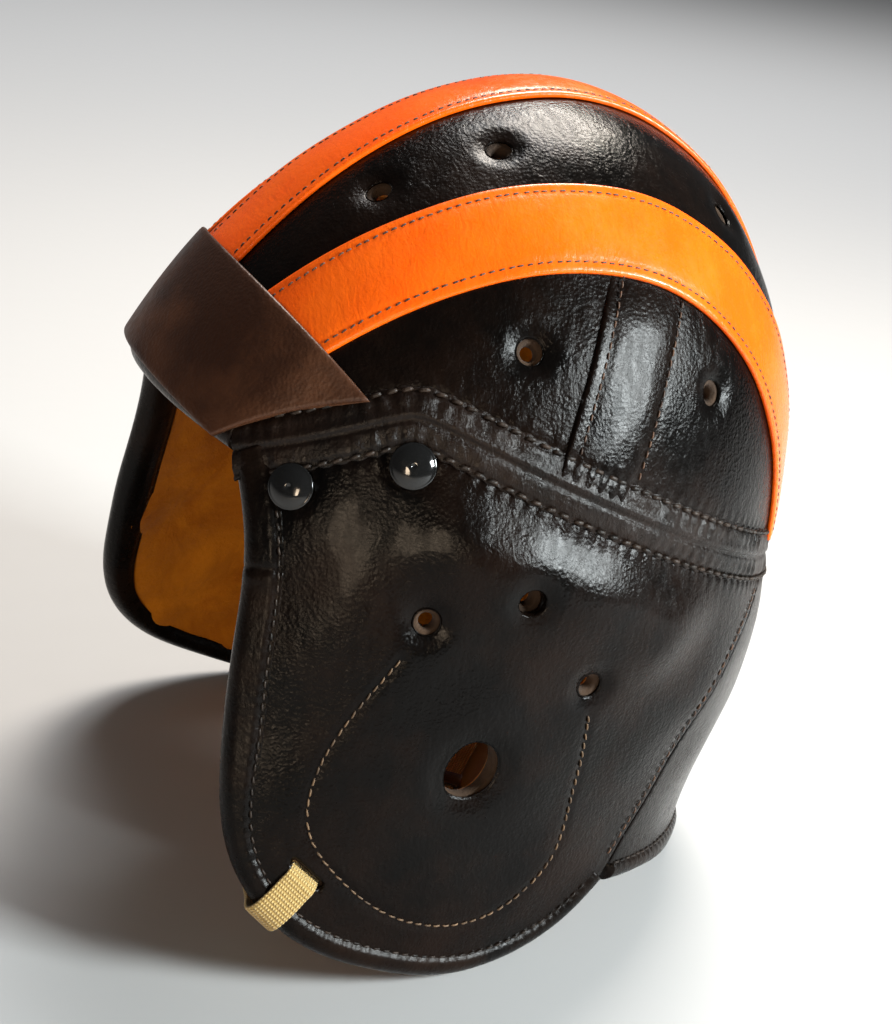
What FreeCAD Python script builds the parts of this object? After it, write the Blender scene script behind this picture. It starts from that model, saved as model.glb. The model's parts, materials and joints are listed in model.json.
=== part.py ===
import FreeCAD, Part
import math
import os
from FreeCAD import Placement, Rotation, Vector

# A padded leather football helmet, in millimetres.
#
# The shell is drawn in head axes: x to the wearer's left, y to the back and z up the head, from the
# level of the ear flaps' lowest edge. At the end everything leans back by LEAN about x, which is how
# the helmet stands on its two ear flaps and its neck edge, and drops on to z = 0.

# The head form: an egg-shaped crown over walls that splay a little and flare at the neck.
HALF_WIDTH = 97.0
FRONT_DEPTH = 107.5
BACK_DEPTH = 120.5
CROWN_RISE = 157.0
EQUATOR = 97.5
FLAP_SPLAY = 6.0
SEAM_LEVEL = 153.5
BROW_LEVEL = 118.0
NECK_FLARE = 17.0
NECK_FLARE_LENGTH = 35.0
NECK_LIP = 8.0
NECK_LIP_LEVEL = 48.0
NECK_LIP_LENGTH = 10.0
LEAN = 22.7

# Layers, as offsets from the outer leather surface: felt pad and suede lining lie inside it.
GAP = 0.2
LEATHER = 2.0
PAD_OUTER = -LEATHER - GAP
PAD_INNER = PAD_OUTER - 4.8
LINING_OUTER = PAD_INNER - GAP
LINING_INNER = LINING_OUTER - 1.0
STRIPE_OUTER = GAP + 1.2
BAND_INNER = STRIPE_OUTER + GAP
BAND_OUTER = BAND_INNER + 2.2

# Seams in the side view. The main seam is level and drops steeply to the brow corner in front.
SEAM_BEND = -56.0
SEAM_DROP = 1.045
SEAM_SOFTNESS = 4.0
REAR_SEAM = [(102, 164), (93, 146), (85, 118), (82, 96), (81, 78), (79, 60), (75, 42), (71, 24)]
LAP_TOP = (-21, 250)
LAP_FOOT = (-13, 110)
WELT_WIDTH = 7.0
WELT_HEIGHT = 2.0

# The ear flap's free edge, from the brow corner down the front, along the bottom and up to the neck.
FLAP_EDGE = [(-89, 117), (-79, 97), (-72, 74), (-62, 42), (-48, 17), (-26, 4.2), (4, 1.5), (32, 4.4),
             (56, 15), (70, 28), (77.5, 41)]
FLAP_EDGE_LENGTH = 300.0
NECK_CORNER_TURN = 123.0
NECK_EDGE_BACK = 50.0
NECK_EDGE_CORNER = 40.0
BINDING_LIP = 9.0
BINDING_WALL = 1.2
BINDING_WEB = 1.4
BINDING_GAP = 0.4

# Stripes: one along the middle and one each side, which closes in towards the front and the back.
STRIPE_WIDTH = 27.5
STRIPE_SPREAD = 36.8
STRIPE_PEAK = 10.0
STRIPE_CLOSE_FRONT = 0.0031
STRIPE_CLOSE_BACK = 0.0021
STRIPE_FRONT_END = 73.0
BAND_TOP = 66.5
BAND_FOOT = 82.5
BAND_END_TOP = 44.0
BAND_END_FOOT = 29.0

# Holes: vents in the crown by turn and latitude in degrees, vents and ear hole in the flap by y and z.
VENT_RADIUS = 3.8
TOP_VENTS = [(47.7, 17.1), (30.3, 20.0), (-13.7, 20.1)]
FRONT_VENT = (31.0, 51.6)
REAR_VENT = (-20.7, 49.2)
FLAP_VENTS = [(-31, 103.5), (-7.4, 121), (27, 103.5)]
EAR_HOLE = (3, 68.5)
EAR_RADIUS = 9.0

# Snap fasteners at the temple: a domed cap outside, a post through the flap, a washer inside.
SNAPS = [(-75, 119), (-52, 140)]
CAP_RADIUS = 6.4
CAP_RIM = 1.2
CAP_RISE = 3.4
POST_RADIUS = 1.6
WASHER_RADIUS = 5.0
WASHER_THICKNESS = 0.8

# Chin strap: webbing that comes out of a slit in the left flap, wraps round the flap's edge and lies
# across the floor inside the helmet. Its turn at the edge is a pin in an eye.
STRAP_WIDTH = 10.0
STRAP_THICKNESS = 1.3
SLIT = (-28.2, 23.9)
TAB_LENGTH = 18.8
TAB_CLIMB = 0.36
TAB_RISE = BINDING_GAP + BINDING_WALL + 0.15
PIN_RADIUS = 1.0
EYE_RADIUS = 2.0
EYE_WIDTH = 3.4
RUNNING_GAP = 0.05
STRAP_STAND_OFF = 3.0
STRAP_FALL = 110.0
STRAP_RUN_START = Vector(26, -8, 2.6)
STRAP_RUN_END = Vector(-46, 46, 2.6)
KEEPER_AT = 38.0
KEEPER_LENGTH = 8.0
KEEPER_WALL = 1.2
KEEPER_GAP = 0.4

# Slide buckle on a webbing loop on the right flap: a wire frame with a middle bar.
BUCKLE_AT = (-25.0, 31.0)
BUCKLE_WIDTH = 13.0
BUCKLE_LENGTH = 13.0
BUCKLE_BAR = 7.0
BUCKLE_BEND = 1.4
BAR_RADIUS = 0.75
WIRE_RADIUS = 0.9
BUCKLE_HEIGHT = 3.0
LOOP_LENGTH = 16.0

STEPS_LONG = 36
STEPS_SHORT = 12


def section(z, offset):
    """Half-width, front depth and back depth of the head form at height z."""
    if z > EQUATOR:
        shrink = math.sqrt(max(0.0, 1 - ((z - EQUATOR) / (CROWN_RISE + offset)) ** 2))
        splay = 0
    else:
        shrink = 1
        splay = FLAP_SPLAY * ((EQUATOR - z) / EQUATOR) ** 1.5
    flare = 0
    if z < SEAM_LEVEL:
        flare = NECK_FLARE * (1 - math.exp((z - SEAM_LEVEL) / NECK_FLARE_LENGTH))
        flare += NECK_LIP * math.exp(-max(z - NECK_LIP_LEVEL, 0) / NECK_LIP_LENGTH)
    half_width = (HALF_WIDTH + offset) * shrink + splay
    return half_width, (FRONT_DEPTH + offset) * shrink, (BACK_DEPTH + offset) * shrink + flare


def wall(turn, z, offset=0.0):
    """Point of the side wall. turn is 0 at the brow, 90 at the left ear and 180 at the nape."""
    half_width, front, back = section(z, offset)
    cosine = math.cos(math.radians(turn))
    depth = front if cosine > 0 else back
    return Vector(half_width * math.sin(math.radians(turn)), -depth * cosine, z)


def crown(turn, latitude, offset=0.0):
    """Point of the crown. turn runs from the front to the back over the top, latitude to the left."""
    turn = math.radians(turn)
    latitude = math.radians(latitude)
    depth = FRONT_DEPTH if turn > 0 else BACK_DEPTH
    return Vector(
        (HALF_WIDTH + offset) * math.sin(latitude),
        -(depth + offset) * math.cos(latitude) * math.sin(turn),
        EQUATOR + (CROWN_RISE + offset) * math.cos(latitude) * math.cos(turn),
    )


def turn_at(y, z):
    """The wall turn at which the left side is at depth y."""
    half_width, front, back = section(z, 0)
    return math.degrees(math.acos(max(-1, min(1, -y / (front if y < 0 else back)))))


def outward(surface, a, b):
    """Unit normal of a surface function, pointing out of the helmet."""
    step = 0.05
    along = surface(a + step, b) - surface(a - step, b)
    across = surface(a, b + step) - surface(a, b - step)
    normal = along.cross(across).normalize()
    return normal if normal.dot(surface(a, b) - Vector(0, 0, EQUATOR)) > 0 else normal * -1


def slide(turn, z, direction, distance):
    """Wall coordinates reached by going a distance along the wall in a direction tangent to it."""
    step = 0.05
    by_turn = (wall(turn + step, z) - wall(turn - step, z)) * (0.5 / step)
    by_z = (wall(turn, z + step) - wall(turn, z - step)) * (0.5 / step)
    a, b, c = by_turn.dot(by_turn), by_turn.dot(by_z), by_z.dot(by_z)
    d, e = by_turn.dot(direction) * distance, by_z.dot(direction) * distance
    det = a * c - b * b
    return turn + (c * d - b * e) / det, z + (a * e - b * d) / det


def seam_height(y):
    """Height of the main seam at depth y."""
    ahead = SEAM_BEND - y
    return SEAM_LEVEL - SEAM_DROP * (math.hypot(ahead, SEAM_SOFTNESS) + ahead) / 2


def seam_at(turn):
    """Wall coordinates of the main seam at a turn."""
    z = SEAM_LEVEL
    for _ in range(40):
        z = 0.6 * z + 0.4 * seam_height(wall(turn, z).y)
    return turn, z


def stripe_latitude(turn):
    """Latitude of a side stripe's middle line."""
    away = turn - STRIPE_PEAK
    return STRIPE_SPREAD - (STRIPE_CLOSE_FRONT if away > 0 else STRIPE_CLOSE_BACK) * away * away


def stripe_half_angle(turn, latitude):
    """Half the stripe's width as degrees of latitude."""
    step = 0.5
    length = (crown(turn, latitude + step) - crown(turn, latitude - step)).Length / (2 * step)
    return STRIPE_WIDTH / 2 / length


def mix(a, b, share):
    return a + (b - a) * share


def sheet(point, outer, inner, steps_a, steps_b):
    """Solid between two offsets of a patch, which point(a, b, offset) covers for a and b from 0 to 1."""
    faces = []
    for offset in (outer, inner):
        grid = [[point(i / steps_a, j / steps_b, offset) for j in range(steps_b + 1)]
                for i in range(steps_a + 1)]
        surface = Part.BSplineSurface()
        surface.interpolate(grid)
        faces.append(surface.toShape())
    sides = [Part.makeRuledSurface(a, b) for a, b in zip(faces[0].Edges, faces[1].Edges)]
    return closed_solid(faces + sides)


def closed_solid(faces):
    shell = Part.Shell(faces)
    shell.sewShape()
    solid = Part.Solid(shell)
    if solid.Volume < 0:
        solid.reverse()
    return solid


def spline(points):
    curve = Part.BSplineCurve()
    curve.interpolate([Vector(*point) if isinstance(point, tuple) else point for point in points])
    return curve


def profile(points):
    """Side-view points (y, z) as a spline in the plane x = 0."""
    return spline([Vector(0, y, z) for y, z in points])


def side_region(curve, corners):
    """Face in the side view between a curve and the corners that close it."""
    ends = [curve.value(curve.LastParameter)] + [Vector(0, y, z) for y, z in corners]
    ends.append(curve.value(curve.FirstParameter))
    lines = [Part.makeLine(a, b) for a, b in zip(ends, ends[1:])]
    return Part.Face(Part.Wire([curve.toShape()] + lines))


def shifted(curve, distance, count=24):
    """The curve moved sideways in the side view, to its left for a positive distance."""
    points = []
    for i in range(count + 1):
        place = mix(curve.FirstParameter, curve.LastParameter, i / count)
        along = curve.tangent(place)[0]
        points.append(curve.value(place) + Vector(0, -along.z, along.y) * distance)
    return spline(points)


def seam_curve(shift):
    ys = [-112, -100, -89, -75, -66, -60, -54, -46, -30, 0, 60, 110, 175]
    return profile([(y, seam_height(y) + shift) for y in ys])


def above_seam(shift):
    return side_region(seam_curve(shift), [(175, 300), (-112, 300)])


def below_seam(shift):
    return side_region(seam_curve(-shift), [(175, -40), (-112, -40)])


def above_brow(shift):
    level = BROW_LEVEL + shift
    corners = [(-140, level), (200, level), (200, 300), (-140, 300), (-140, level)]
    return Part.Face(Part.makePolygon([Vector(0, y, z) for y, z in corners]))


def inside_flap_edge(inset):
    """Region inside the ear flap's free edge, run on past both of its ends."""
    edge = shifted(profile(FLAP_EDGE), inset)
    first, last = edge.FirstParameter, edge.LastParameter
    start = edge.value(first) - edge.tangent(first)[0] * 30
    end = edge.value(last) + edge.tangent(last)[0] * 30
    corners = [edge.value(last), end, Vector(0, 150, 260), Vector(0, -90, 260), start, edge.value(first)]
    lines = [Part.makeLine(a, b) for a, b in zip(corners, corners[1:])]
    return Part.Face(Part.Wire([edge.toShape()] + lines))


def ahead_of_rear_seam(shift):
    return side_region(shifted(profile(REAR_SEAM), -shift), [(71, -40), (-160, -40), (-160, 170)])


def behind_rear_seam(shift):
    return side_region(shifted(profile(REAR_SEAM), shift), [(220, 24), (220, 160)])


def prism(region, low=-140.0, high=140.0):
    return region.Faces[0].translated(Vector(low, 0, 0)).extrude(Vector(high - low, 0, 0))


def left_prism(region):
    return prism(region, 1.0, 140.0)


def mirrored(shape):
    return shape.mirror(Vector(0, 0, 0), Vector(1, 0, 0))


def drill(point, axis, radius, length=40.0):
    return Part.makeCylinder(radius, length, point - axis * (length / 2), axis)


def crown_drill(turn, latitude):
    return drill(crown(turn, latitude), outward(crown, turn, latitude), VENT_RADIUS)


def flap_place(y, z):
    """Point and outward normal on the left flap."""
    turn = turn_at(y, z)
    return wall(turn, z), outward(wall, turn, z)


def crown_drills():
    left = [crown_drill(*vent) for vent in TOP_VENTS + [FRONT_VENT, REAR_VENT]]
    return left + [mirrored(hole) for hole in left]


def flap_drills():
    holes = [drill(*flap_place(y, z), VENT_RADIUS) for y, z in FLAP_VENTS]
    holes.append(drill(flap_place(*EAR_HOLE)[0], Vector(1, 0, 0), EAR_RADIUS))
    holes += [drill(*flap_place(y, z), POST_RADIUS + 0.1) for y, z in SNAPS]
    return holes


def crown_panels():
    """The leather crown: two top panels and, each side, a front and a rear panel that meet at the lap."""
    hem = left_prism(above_seam(GAP).common(above_brow(BINDING_WEB + GAP)))
    lap = side_region(profile([LAP_TOP, LAP_FOOT]), [(-140, 110), (-140, 250)])
    front_side = left_prism(lap)

    def top_patch(a, b, offset):
        turn = mix(86, -74, a)
        return crown(turn, mix(0.06, stripe_latitude(turn) - 0.06, b), offset)

    def side_patch(a, b, offset):
        turn = mix(86, -70, a)
        return crown(turn, mix(stripe_latitude(turn) + 0.06, 76, b), offset)

    top = sheet(top_patch, 0, -LEATHER, STEPS_LONG, STEPS_SHORT).common(hem)
    side = sheet(side_patch, 0, -LEATHER, STEPS_LONG, STEPS_SHORT).common(hem)
    drills = [crown_drill(*vent) for vent in TOP_VENTS + [FRONT_VENT, REAR_VENT]]
    top, side = top.cut(drills), side.cut(drills)
    rear = side.cut(front_side).cut(front_side.translated(Vector(0, GAP, 0)))
    return {"crown_top": top, "crown_side_front": side.common(front_side), "crown_side_rear": rear}


def crown_inner(outer, inner):
    """One crown-wide layer under the leather."""
    def patch(a, b, offset):
        return crown(mix(86, -74, a), mix(-76, 76, b), offset)

    hem = prism(above_seam(GAP).common(above_brow(BINDING_WEB + GAP)))
    return sheet(patch, outer, inner, STEPS_LONG, STEPS_LONG).common(hem).cut(crown_drills())


def flap_layer(outer, inner):
    def patch(a, b, offset):
        return wall(mix(24, 152, a), mix(-3, 157, b), offset)

    region = inside_flap_edge(-4).common(below_seam(GAP)).common(ahead_of_rear_seam(GAP / 2))
    layer = sheet(patch, outer, inner, STEPS_LONG, STEPS_LONG).common(left_prism(region))
    return trimmed(layer, flap_edge_stations(-0.04, 1.04)).cut(flap_drills())


def neck_edge(turn):
    """Height of the neck's free edge."""
    away = (180 - turn) / (180 - NECK_CORNER_TURN)
    return mix(NECK_EDGE_BACK, NECK_EDGE_CORNER, away * away)


def neck_layer(outer, inner):
    rise = BINDING_WEB + GAP

    def patch(a, b, offset):
        turn = mix(118, 242, a)
        return wall(turn, mix(neck_edge(turn) + rise, SEAM_LEVEL - GAP, b), offset)

    return sheet(patch, outer, inner, STEPS_LONG, STEPS_SHORT).common(prism(behind_rear_seam(GAP / 2)))


def seam_welt():
    """Raised leather welt over the left half of the main seam."""
    def patch(a, b, offset):
        turn, z = seam_at(mix(38, 179.8, a))
        ahead = wall(*seam_at(turn + 0.5)) - wall(*seam_at(turn - 0.5))
        across = outward(wall, turn, z).cross(ahead).normalize()
        return wall(*slide(turn, z, across, mix(-WELT_WIDTH / 2, WELT_WIDTH / 2, b)), offset)

    return sheet(patch, WELT_HEIGHT, GAP, 60, 4)


def centre_stripe():
    half = stripe_half_angle(0, 0)

    def patch(a, b, offset):
        return crown(mix(STRIPE_FRONT_END, -72, a), mix(-half, half, b), offset)

    return sheet(patch, STRIPE_OUTER, GAP, STEPS_LONG, 6).common(prism(above_seam(WELT_WIDTH / 2 + GAP)))


def side_stripe():
    def patch(a, b, offset):
        turn = mix(STRIPE_FRONT_END, -70, a)
        middle = stripe_latitude(turn)
        half = stripe_half_angle(turn, middle)
        return crown(turn, mix(middle - half, middle + half, b), offset)

    return sheet(patch, STRIPE_OUTER, GAP, STEPS_LONG, 6).common(prism(above_seam(WELT_WIDTH / 2 + GAP)))


def forehead_band():
    def patch(a, b, offset):
        end = mix(BAND_END_TOP, BAND_END_FOOT, b)
        latitude = mix(-end, end, a)
        top = mix(BAND_TOP, 62.5, (latitude / BAND_END_TOP) ** 2)
        return crown(mix(top, BAND_FOOT, b), latitude, offset)

    return sheet(patch, BAND_OUTER, BAND_INNER, STEPS_LONG, STEPS_SHORT)


def swept(stations, corners, caps):
    """Solid along an edge. corners are (reach, offset) round its section, caps the section's quads."""
    rails = [[wall(*slide(turn, z, inward, reach), offset) for turn, z, inward in stations]
             for reach, offset in corners]
    curves = [spline(rail).toShape() for rail in rails]
    faces = [Part.makeRuledSurface(a, b) for a, b in zip(curves, curves[1:] + curves[:1])]
    for end in (0, -1):
        for a, b, c, d in caps:
            lines = [Part.makeLine(rails[a][end], rails[b][end]), Part.makeLine(rails[d][end], rails[c][end])]
            faces.append(Part.makeRuledSurface(*lines))
    return closed_solid(faces)


def binding(stations):
    """Leather binding folded round an edge. stations are (turn, z, inward tangent) along it."""
    middle = BINDING_LIP / 2
    outer, roof = BINDING_GAP + BINDING_WALL, BINDING_GAP
    floor, base = LINING_INNER - BINDING_GAP, LINING_INNER - BINDING_GAP - BINDING_WALL
    skin = [(BINDING_LIP, outer), (middle, outer), (0, outer), (0, base), (middle, base), (BINDING_LIP, base)]
    hollow = [(BINDING_LIP, roof), (middle, roof), (BINDING_WEB, roof),
              (BINDING_WEB, floor), (middle, floor), (BINDING_LIP, floor)]
    caps = [(i, i + 1, 10 - i, 11 - i) for i in range(5)]
    return swept(stations, skin + hollow[::-1], caps)


def trimmed(layer, stations):
    """The layer cut back from a binding's web."""
    reach = BINDING_WEB + GAP
    web = swept(stations, [(-7, 8), (-7, -16), (reach, -16), (reach, 8)], [(0, 1, 2, 3)])
    return max(layer.cut(web).Solids, key=lambda solid: solid.Volume)


def edge_stations(places, inside):
    """Stations along wall coordinates, with the in-wall direction that points into the panel."""
    stations = []
    for i, (turn, z) in enumerate(places):
        before, after = places[max(i - 1, 0)], places[min(i + 1, len(places) - 1)]
        along = wall(*after) - wall(*before)
        inward = outward(wall, turn, z).cross(along).normalize()
        if inward.dot(inside - wall(turn, z)) < 0:
            inward = inward * -1
        stations.append((turn, z, inward))
    return stations


def flap_edge_stations(first, last, count=48):
    """Stations along the ear flap's free edge, run on past its ends for a share under 0 or over 1."""
    edge = profile(FLAP_EDGE)
    places = []
    for i in range(count + 1):
        share = mix(first, last, i / count)
        inside = max(0, min(1, share))
        place = mix(edge.FirstParameter, edge.LastParameter, inside)
        point = edge.value(place) + edge.tangent(place)[0] * ((share - inside) * FLAP_EDGE_LENGTH)
        places.append((turn_at(point.y, point.z), point.z))
    return edge_stations(places, flap_place(0, 80)[0])


def flap_binding():
    return binding(flap_edge_stations(0.015, 0.985))


def neck_binding():
    turns = [mix(NECK_CORNER_TURN + 2, 358 - NECK_CORNER_TURN, i / 30) for i in range(31)]
    stations = []
    for turn in turns:
        z = neck_edge(turn)
        rise = (wall(turn, z + 0.5) - wall(turn, z - 0.5)).normalize()
        stations.append((turn, z, rise))
    return binding(stations)


def brow_binding():
    turns = [mix(-28.5, 28.5, i / 16) for i in range(17)]
    rises = [(wall(turn, BROW_LEVEL + 0.5) - wall(turn, BROW_LEVEL - 0.5)).normalize() for turn in turns]
    return binding([(turn, BROW_LEVEL, rise) for turn, rise in zip(turns, rises)])


def along_normal(shape, place):
    """Moves a shape made on the origin, axis +Z, to a place on the flap."""
    point, normal = place
    return shape.transformed(Placement(point, Rotation(Vector(0, 0, 1), normal)).toMatrix())


def snap_cap():
    """Domed cap: a rim and a spherical crown, made on the origin."""
    rise = CAP_RISE - CAP_RIM
    radius = (CAP_RADIUS ** 2 + rise ** 2) / (2 * rise)
    ball = Part.makeSphere(radius, Vector(0, 0, CAP_RISE - radius))
    keep = Part.makeCylinder(CAP_RADIUS, CAP_RISE, Vector(0, 0, CAP_RIM))
    rim = Part.makeCylinder(CAP_RADIUS, CAP_RIM)
    return rim.fuse(ball.common(keep)).removeSplitter().translated(Vector(0, 0, GAP))


def snap_post():
    low = LINING_INNER - GAP - WASHER_THICKNESS
    return Part.makeCylinder(POST_RADIUS, GAP - low, Vector(0, 0, low))


def snap_washer():
    low = LINING_INNER - GAP - WASHER_THICKNESS
    disc = Part.makeCylinder(WASHER_RADIUS, WASHER_THICKNESS, Vector(0, 0, low))
    return disc.cut(Part.makeCylinder(POST_RADIUS + RUNNING_GAP, WASHER_THICKNESS, Vector(0, 0, low)))


def flap_axes(y, z, ahead, height):
    """Place on the left flap: local x across a strap, y down the strap, z out of the leather."""
    point, normal = flap_place(y, z)
    down = (ahead - normal * ahead.dot(normal)).normalize()
    across = down.cross(normal)
    return Placement(point + normal * height, Rotation(across, down, normal, "ZYX"))


def box(low, high):
    size = high - low
    return Part.makeBox(size.x, size.y, size.z, low)


def rod(start, end, radius):
    return Part.makeCylinder(radius, (end - start).Length, start, end - start)


def flap_strip(y, z, ahead, length, width, rise):
    """Webbing strip on the left flap, from a point on towards ahead. It climbs by rise at its start."""
    turn = turn_at(y, z)
    normal = outward(wall, turn, z)
    down = (ahead - normal * ahead.dot(normal)).normalize()
    across = down.cross(normal)

    def patch(a, b, offset):
        place = slide(turn, z, (down * (a * length) + across * ((b - 0.5) * width)), 1)
        climb = min(1, a / TAB_CLIMB)
        return wall(*place, offset + GAP + rise * climb * climb * (3 - 2 * climb))

    return sheet(patch, STRAP_THICKNESS, 0, 16, 4)


def strap_direction():
    return Vector(0, -0.35, -0.94)


def strap_hinge():
    """Place of the pin that the chin strap turns on, just past the flap's edge."""
    down = strap_direction() * (TAB_LENGTH + PIN_RADIUS)
    height = GAP + TAB_RISE + STRAP_THICKNESS / 2
    return flap_axes(SLIT[0] + down.y, SLIT[1] + down.z, strap_direction(), height)


def strap_tab():
    """Fixed end of the chin strap: the strip on the flap with the pin at its end."""
    strip = flap_strip(*SLIT, strap_direction(), TAB_LENGTH - EYE_RADIUS, STRAP_WIDTH, TAB_RISE)
    half = STRAP_WIDTH / 2
    shape = rod(Vector(-half, 0, 0), Vector(half, 0, 0), PIN_RADIUS)
    thick = STRAP_THICKNESS / 2
    for side in (-1, 1):
        near, far = sorted([side * (EYE_WIDTH / 2 + GAP), side * half])
        shape = shape.fuse(box(Vector(near, -EYE_RADIUS - 2.5, -thick), Vector(far, 0, thick)))
    return strip.fuse(shape.transformed(strap_hinge().toMatrix()))


def strap_path(share):
    """Middle line of the loose strap, as a point and its width direction. It falls, then runs straight."""
    hinge = STANDING.multiply(strap_hinge())
    inward = hinge.Rotation.multVec(Vector(0, 0, -1))
    pin = hinge.Rotation.multVec(Vector(1, 0, 0))
    run = STRAP_RUN_END - STRAP_RUN_START
    flat = Vector(-run.y, run.x, 0).normalize()
    if flat.dot(pin) < 0:
        flat = flat * -1
    start = hinge.Base + inward * STRAP_STAND_OFF
    fall_share = STRAP_FALL / (STRAP_FALL + run.Length)
    if share > fall_share:
        return STRAP_RUN_START + run * ((share - fall_share) / (1 - fall_share)), flat, run.normalize()
    t = share / fall_share
    ease = t * t * (3 - 2 * t)
    reach = (STRAP_RUN_START - start).Length
    leave, arrive = inward * reach, Vector(run).normalize() * reach
    point = start * (1 - ease) + STRAP_RUN_START * ease
    point = point + leave * (t * (1 - t) ** 2) - arrive * (t * t * (1 - t))
    slope = ((STRAP_RUN_START - start) * (6 * t * (1 - t)) + leave * ((1 - t) * (1 - 3 * t))
             - arrive * (t * (2 - 3 * t))).normalize()
    width = pin * (1 - ease) + flat * ease
    width = (width - slope * width.dot(slope)).normalize()
    return point, width, slope


def strap():
    """Loose part of the chin strap, with the eye that turns on the pin. Standing axes."""
    def patch(a, b, offset):
        point, width, slope = strap_path(a)
        return point + width * ((b - 0.5) * STRAP_WIDTH) + width.cross(slope) * offset

    half = STRAP_THICKNESS / 2
    webbing = sheet(patch, half, -half, 60, 4)
    side = Vector(EYE_WIDTH / 2, 0, 0)
    eye = rod(side * -1, side, EYE_RADIUS)
    eye = eye.fuse(box(Vector(-EYE_WIDTH / 2, -half, -STRAP_STAND_OFF - 2), Vector(EYE_WIDTH / 2, half, 0)))
    eye = eye.cut(rod(side * -2, side * 2, PIN_RADIUS + RUNNING_GAP))
    return webbing.fuse(eye.transformed(STANDING.multiply(strap_hinge()).toMatrix()))


def strap_keeper():
    """Leather loop that slides on the straight run of the strap. Standing axes."""
    run = (STRAP_RUN_END - STRAP_RUN_START).normalize()
    hole = Vector(KEEPER_LENGTH / 2, STRAP_WIDTH / 2 + KEEPER_GAP, STRAP_THICKNESS / 2 + KEEPER_GAP)
    grown = hole + Vector(0, KEEPER_WALL, KEEPER_WALL)
    through = hole + Vector(1, 0, 0)
    loop = box(grown * -1, grown).cut(box(through * -1, through))
    placed = Placement(STRAP_RUN_START + run * KEEPER_AT, Rotation(Vector(1, 0, 0), run))
    return loop.transformed(placed.toMatrix())


def buckle_hinge():
    """Place of the buckle's bar, on the left side: the buckle is mirrored to the right flap."""
    return flap_axes(*BUCKLE_AT, strap_direction(), BUCKLE_HEIGHT)


def buckle_frame():
    """Bent wire: a rounded rectangle whose near side is the hinge pin, with a bar across it."""
    half, end, bend = BUCKLE_WIDTH / 2, BUCKLE_LENGTH, BUCKLE_BEND
    centres = [(half - bend, bend), (half - bend, end - bend), (bend - half, end - bend), (bend - half, bend)]
    bends = []
    for quarter, (x, y) in enumerate(centres):
        angles = [math.radians(90 * quarter + turn) for turn in (-90, -45, 0)]
        bends.append([Vector(x + bend * math.cos(angle), y + bend * math.sin(angle), 0) for angle in angles])
    edges = []
    for before, after in zip(bends[-1:] + bends[:-1], bends):
        edges += [Part.makeLine(before[2], after[0]), Part.Arc(*after).toShape()]
    section = Part.Wire(Part.makeCircle(WIRE_RADIUS, bends[-1][2], Vector(1, 0, 0)))
    frame = Part.Wire(edges).makePipeShell([section], True, False)
    bar = rod(Vector(-half, BUCKLE_BAR, 0), Vector(half, BUCKLE_BAR, 0), BAR_RADIUS)
    return frame.fuse(bar).Solids[0].transformed(buckle_hinge().toMatrix())


def buckle_loop():
    """Webbing sewn to the flap, with the eye that holds the buckle's bar."""
    back = strap_direction() * -LOOP_LENGTH
    strip = flap_strip(BUCKLE_AT[0] + back.y, BUCKLE_AT[1] + back.z, strap_direction(), LOOP_LENGTH - 0.5,
                       STRAP_WIDTH, 0)
    side = Vector(STRAP_WIDTH / 2, 0, 0)
    outer = BUCKLE_HEIGHT - GAP - STRAP_THICKNESS / 2
    eye = rod(side * -1, side, outer)
    eye = eye.cut(rod(side * -2, side * 2, WIRE_RADIUS + RUNNING_GAP))
    return strip.fuse(eye.transformed(buckle_hinge().toMatrix()))


def standing_place(shapes):
    """Placement from head axes to the standing helmet: leaning back, on the floor, middle on the origin."""
    lean = Placement(Vector(0, 0, 0), Rotation(Vector(1, 0, 0), -LEAN))
    boxes = [shape.transformed(lean.toMatrix()).optimalBoundingBox() for shape in shapes]
    middle = (min(box.YMin for box in boxes) + max(box.YMax for box in boxes)) / 2
    return Placement(Vector(0, -middle, -min(box.ZMin for box in boxes)), lean.Rotation)


def left_side():
    """Everything that has a mirror image on the right."""
    nodes = {name + "_left": shape for name, shape in crown_panels().items()}
    nodes["ear_flap_left"] = flap_layer(0, -LEATHER)
    nodes["flap_pad_left"] = flap_layer(PAD_OUTER, PAD_INNER)
    nodes["flap_lining_left"] = flap_layer(LINING_OUTER, LINING_INNER)
    nodes["flap_binding_left"] = flap_binding()
    nodes["seam_welt_left"] = seam_welt()
    nodes["stripe_left"] = side_stripe()
    for name, make in (("snap_caps", snap_cap), ("snap_posts", snap_post), ("snap_washers", snap_washer)):
        snaps = [along_normal(make(), flap_place(*snap)) for snap in SNAPS]
        nodes[name + "_left"] = Part.makeCompound(snaps)
    return nodes


def middle():
    """Everything that lies across the middle."""
    return {
        "stripe_centre": centre_stripe(),
        "forehead_band": forehead_band(),
        "neck_panel": neck_layer(0, -LEATHER),
        "neck_pad": neck_layer(PAD_OUTER, PAD_INNER),
        "neck_lining": neck_layer(LINING_OUTER, LINING_INNER),
        "crown_pad": crown_inner(PAD_OUTER, PAD_INNER),
        "crown_lining": crown_inner(LINING_OUTER, LINING_INNER),
        "neck_binding": neck_binding(),
        "brow_binding": brow_binding(),
    }


head_nodes = left_side()
head_nodes.update({name.replace("_left", "_right"): mirrored(shape) for name, shape in head_nodes.items()})
head_nodes.update(middle())
head_nodes["strap_tab"] = strap_tab()
head_nodes["buckle_loop"] = mirrored(buckle_loop())
head_nodes["buckle_frame"] = mirrored(buckle_frame())

STANDING = standing_place([head_nodes[name] for name in (
    "flap_binding_left", "neck_binding", "forehead_band", "seam_welt_left", "neck_panel")])
nodes = {name: shape.transformed(STANDING.toMatrix()) for name, shape in head_nodes.items()}
nodes["chin_strap"] = strap()
nodes["strap_keeper"] = strap_keeper()

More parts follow.
